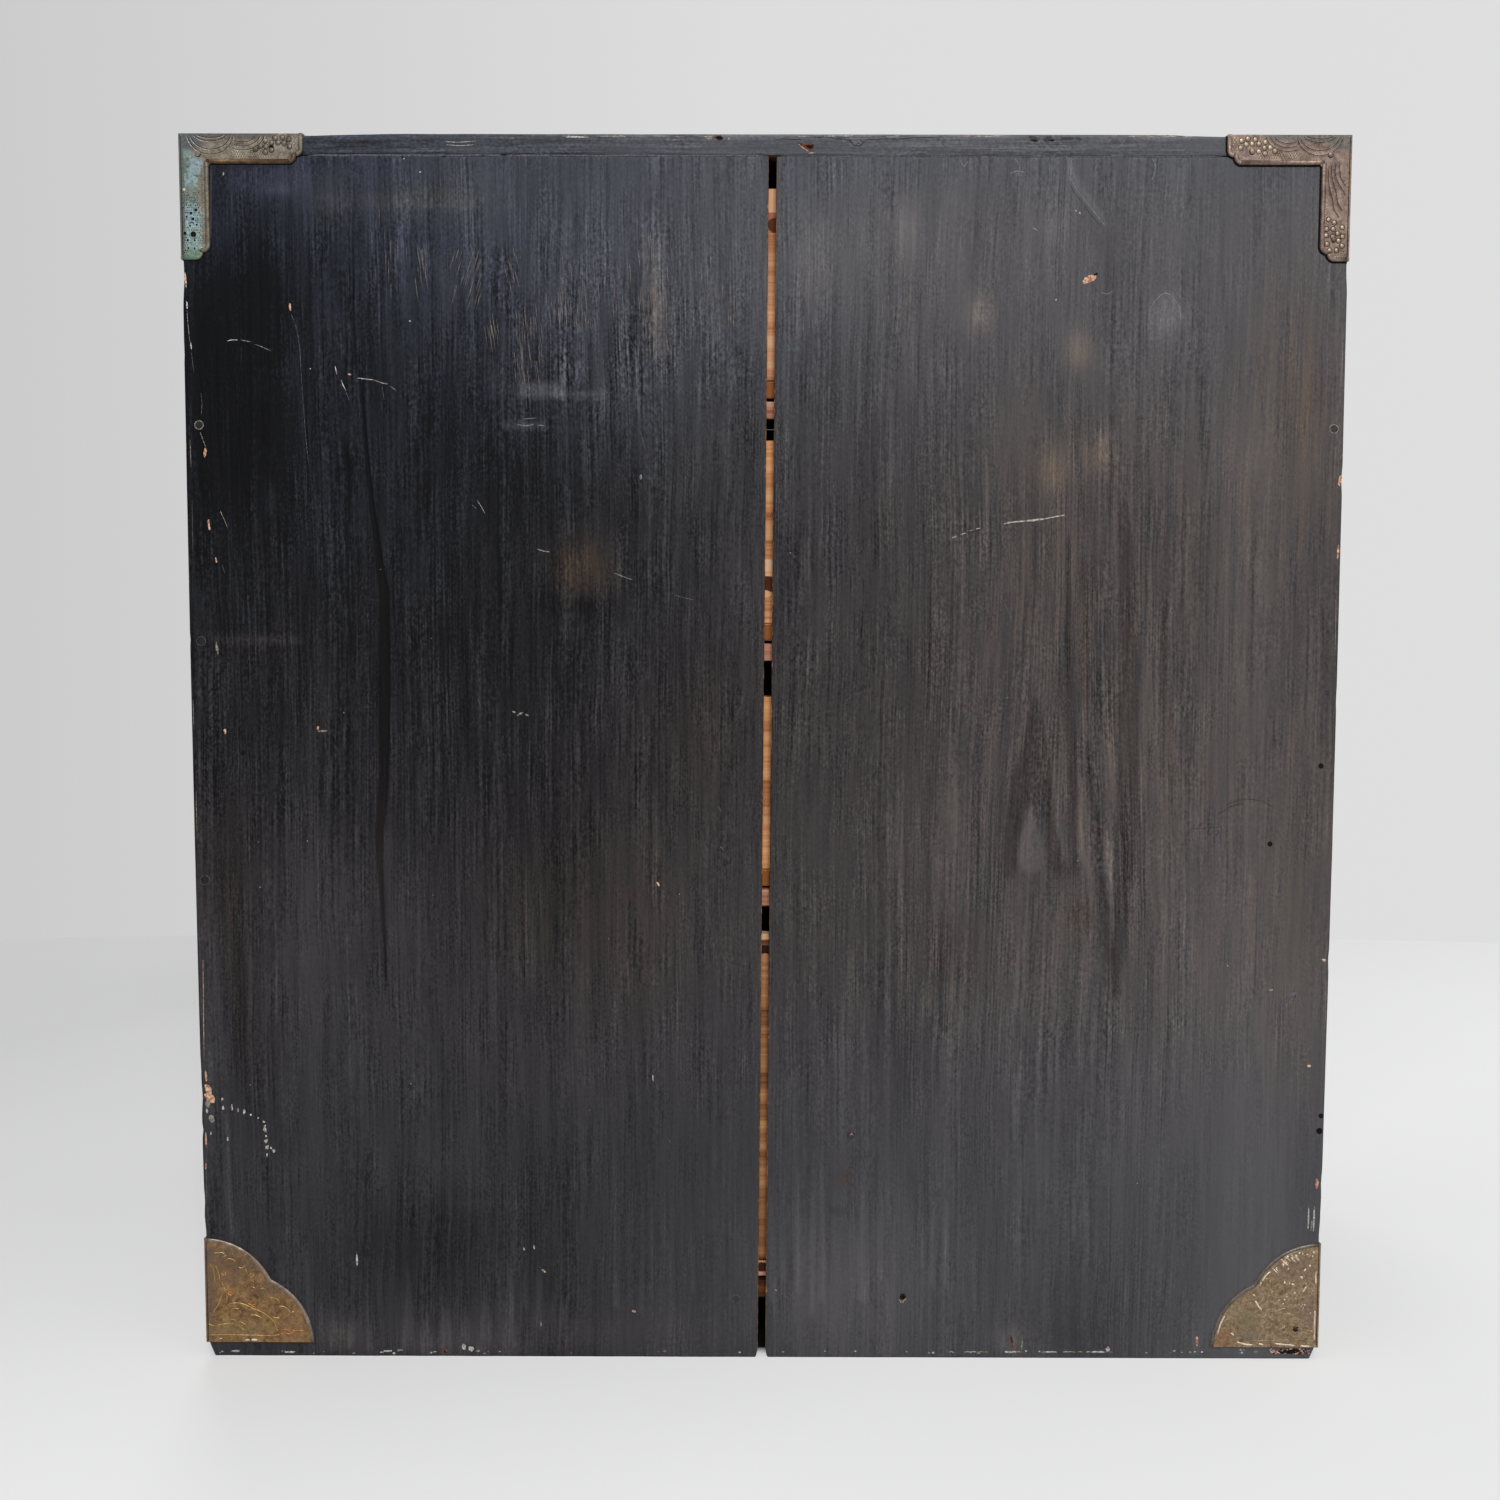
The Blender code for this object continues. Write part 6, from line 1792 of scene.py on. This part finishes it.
def bail_path():
    """The bail as x, z and radius: knob in the eye, shoulder, leg and half the grip, then mirrored."""
    half = [(45.0, 0, 1.6), (45.3, 0, 2.5), (46.0, 0, KNOB), (47.0, 0, KNOB), (47.7, 0, 2.5), (48.0, 0, PIN)]
    shoulder_x, corner_x = BAIL_LEG - BAIL_SHOULDER, BAIL_LEG - BAIL_CORNER
    for step in range(11):
        turn = pi / 2 * (1 - step / 10)
        half.append((shoulder_x + BAIL_SHOULDER * cos(turn), BAIL_SHOULDER * (sin(turn) - 1), PIN))
    for step in range(15):
        turn = -pi / 2 * step / 14
        thick = PIN + (GRIP - PIN) * (step / 14) ** 0.8
        half.append((corner_x + BAIL_CORNER * cos(turn), BAIL_CORNER * (1 + sin(turn)) - BAIL_DROP, thick))
    for x, thick in GRIP_TURNING:
        half.append((x, -BAIL_DROP, thick))
    return half + [(-x, z, thick) for x, z, thick in reversed(half)]


def bail(tier, axis):
    """A cast bail, swelling at its corners and its middle, with two turned collars on the grip."""
    path = bail_path()
    work = bmesh.new()
    rings = []
    ahead = Vector((0, 1, 0))
    for place, (x, z, radius) in enumerate(path):
        before, after = path[max(place - 1, 0)], path[min(place + 1, len(path) - 1)]
        over = Vector((after[0] - before[0], 0, after[1] - before[1])).normalized().cross(ahead)
        middle = Vector((x, 0, z))
        rings.append([
            work.verts.new(axis + (middle + (ahead * c + over * s) * radius) * MM) for c, s in spokes(16)
        ])
    wrap(work, rings)
    handle_piece(work, f"{tier}_bail", "cast", f"{tier}_bail")


def post(tier, side, hand, axis):
    """An eye of brass wire on a turned shank, its two tails bent flat inside the drawer front."""
    centre = axis + Vector((hand * POST_X * MM, 0, 0))
    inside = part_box(f"{tier}_post_{side}")[1].y

    def tail(u, v, high):
        """The place on a tail, u mm up and v mm aside from the shank."""
        return Vector((centre.x + v * MM, inside - 1.2 * MM + high * MM, centre.z + u * MM))

    work = bmesh.new()
    eye = []
    for back, up in spokes(28):
        ring = []
        for c, s in spokes(12):
            out = EYE_RING + EYE_WIRE * s
            ring.append(work.verts.new(centre + Vector((EYE_WIRE * c, out * back, out * up)) * MM))
        eye.append(ring)
    wrap(work, eye, closed=True)
    shank = []
    for depth, radius in (*SHANK, ((inside - centre.y) / MM - 0.6, 1.8)):
        shank.append([
            work.verts.new(centre + Vector((radius * c, depth, radius * s)) * MM) for c, s in spokes(14)
        ])
    wrap(work, shank)
    for way in (-1, 1):
        ridge(work, tail, [(way * u, 0) for u in (0.2, 2.0, 5.0, 6.9)], 3.3, 1.15, 0)
    handle_piece(work, f"{tier}_post_{side}", "wire", f"{tier}_drawer")


def rosette(tier, side, hand, axis):
    """A low pressed flower of twelve petals with a beaded rim, under the post."""
    centre = Vector((hand * POST_X * MM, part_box(f"{tier}_rosette_{side}")[1].y, axis.z))
    work = bmesh.new()
    rings = []
    for radius, height, petal in PETAL_RINGS:
        ring = []
        for step in range(PETALS * 6):
            turn = 2 * pi * step / (PETALS * 6)
            valley = 1 - abs(cos(PETALS / 2 * turn)) ** 0.7
            reach = radius * (1 - (0.05 * valley * petal if radius > 9 else 0))
            lift = height * (1 - 0.38 * valley * petal)
            ring.append(work.verts.new(centre + Vector((reach * cos(turn), -lift, reach * sin(turn))) * MM))
        rings.append(ring)
    wrap(work, rings, closed=True)
    handle_piece(work, f"{tier}_rosette_{side}", "petals", f"{tier}_drawer")


def handles():
    """A bail on two posts over rosettes for each drawer."""
    for tier in TIERS:
        bail_low, bail_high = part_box(f"{tier}_bail")
        axis = Vector((0, (bail_low.y + bail_high.y) / 2, bail_high.z - 3.0 * MM))
        bail(tier, axis)
        for side, hand in SIDES:
            post(tier, side, hand, axis)
            rosette(tier, side, hand, axis)


case_boards()
drawer_boards()
corner_fittings()
back_wear()
case_wear()
handles()


# Stage

FLOOR_FAR_Y = -0.78
FLOOR_RADIUS = 4.0


def seen_rays(tree):
    """1 for rays from the camera, a mirror or glass, 0 for the soft light that falls on the chest."""
    camera_ray = node(tree, "LightPath", out="Is Camera Ray")
    glossy_ray = node(tree, "LightPath", out="Is Glossy Ray")
    through_ray = node(tree, "LightPath", out="Is Transmission Ray")
    seen = node(tree, "Math", {0: camera_ray, 1: glossy_ray}, operation="MAXIMUM")
    return node(tree, "Math", {0: seen, 1: through_ray}, operation="MAXIMUM")


def set_floor():
    """A pale painted floor with a far edge where the photograph's wall begins; its glow is painted light,
    paler near the camera.
    """
    material, tree = bare_tree("pale_painted_floor")
    place = node(tree, "NewGeometry", out="Position")
    drift = node(tree, "TexNoise", {"Vector": place, "Scale": per_mm(350)[0], "Detail": 4.0})
    pale = node(tree, "ValToRGB", {0: drift}, stops=((0.3, "#d6d6d6"), (0.7, "#dcdcdc")))
    seen = seen_rays(tree)
    near = node(tree, "SeparateXYZ", {0: place}, out="Y")
    side = node(tree, "SeparateXYZ", {0: place}, out="X")
    # painted light: the glow is brighter nearer the camera and towards -X
    nearer = node(tree, "Math", {0: near, 1: 0.42, 2: 0.89}, operation="MULTIPLY_ADD")
    paler = node(tree, "Math", {0: side, 1: -0.58, 2: nearer}, operation="MULTIPLY_ADD")
    level = node(tree, "MapRange", {0: paler, 1: 0.45, 2: 1.0, 3: 0.45, 4: 1.0})
    painted_light_glow = node(tree, "Emission", {"Color": paint("#ffffff"), "Strength": level})
    # painted shadow under the chest itself: no glow there, and near-black paint
    beside = node(tree, "Math", {0: side}, operation="ABSOLUTE")
    clear_x = node(tree, "MapRange", {0: beside, 1: SIDE_X - 12 * MM, 2: SIDE_X - 2 * MM})
    from_middle = node(tree, "Math", {0: near, 1: -(BACK_Y + FRONT_Y) / 2}, operation="ADD")
    before = node(tree, "Math", {0: from_middle}, operation="ABSOLUTE")
    half_deep = (BACK_Y - FRONT_Y) / 2
    clear_y = node(tree, "MapRange", {0: before, 1: half_deep - 12 * MM, 2: half_deep - 4 * MM})
    clear = node(tree, "Math", {0: clear_x, 1: clear_y}, operation="MAXIMUM")
    lit = node(tree, "Math", {0: seen, 1: clear}, operation="MULTIPLY")
    shaded = node(tree, "MixRGB", {0: clear, 1: paint("#161616"), 2: pale})
    colour = node(tree, "MixRGB", {0: seen, 1: paint("#8c8c8c"), 2: shaded})
    skin = node(tree, "BsdfPrincipled", {"Base Color": colour, "Roughness": 0.7, "Specular IOR Level": 0.2})
    half = node(tree, "Math", {0: lit, 1: 0.5}, operation="MULTIPLY")
    mixed = node(tree, "MixShader", {0: half, 1: skin, 2: painted_light_glow})
    node(tree, "OutputMaterial", {0: mixed})
    work = bmesh.new()
    bmesh.ops.create_circle(work, cap_ends=True, segments=256, radius=FLOOR_RADIUS)
    mesh = bpy.data.meshes.new("floor")
    work.to_mesh(mesh)
    work.free()
    mesh.materials.append(material)
    floor = bpy.data.objects.new("floor", mesh)
    floor.location = (0, FLOOR_FAR_Y + FLOOR_RADIUS, 0)
    bpy.context.scene.collection.objects.link(floor)


def set_world():
    """A pale wall to look at and to mirror, and an even, softer light from all round."""
    world = bpy.data.worlds.new("pale_room")
    bpy.context.scene.world = world
    world.use_nodes = True
    tree = world.node_tree
    tree.nodes.clear()
    way = node(tree, "TexCoord", out="Generated")
    left = node(tree, "SeparateXYZ", {0: way}, out="X")
    share = node(tree, "MapRange", {0: left, 1: -0.3, 2: 0.3})
    # painted light on the wall: darker towards +X, where less light falls on it
    wall = node(tree, "ValToRGB", {0: share}, stops=((0.0, "#dfdfdf"), (0.5, "#dddddd"), (1.0, "#cbcbcb")))
    light = node(tree, "MixRGB", {0: seen_rays(tree), 1: paint("#89898b"), 2: wall})
    sky = node(tree, "Background", {0: light, 1: 1.0})
    node(tree, "OutputWorld", {0: sky})


def soft_lamp(name, place, target, wide, high, watts):
    """A soft box that looks at a target."""
    lamp = bpy.data.lights.new(name, "AREA")
    lamp.shape = "RECTANGLE"
    lamp.size = wide
    lamp.size_y = high
    lamp.energy = watts
    made = bpy.data.objects.new(name, lamp)
    made.location = place
    made.rotation_euler = (Vector(target) - Vector(place)).to_track_quat("-Z", "Y").to_euler()
    bpy.context.scene.collection.objects.link(made)


set_camera()
set_floor()
set_world()
soft_lamp("lamp_over_camera", (-0.12, 2.3, 1.5), (0, 0.15, 0.25), 0.5, 0.9, 38)
soft_lamp("lamp_overhead", (0.0, 0.4, 2.6), (0, 0.1, 0), 2.4, 2.4, 30)
soft_lamp("lamp_front", (0.6, -2.4, 1.6), (0, -0.1, 0.25), 1.0, 1.2, 30)
bpy.context.scene.view_settings.view_transform = "Standard"
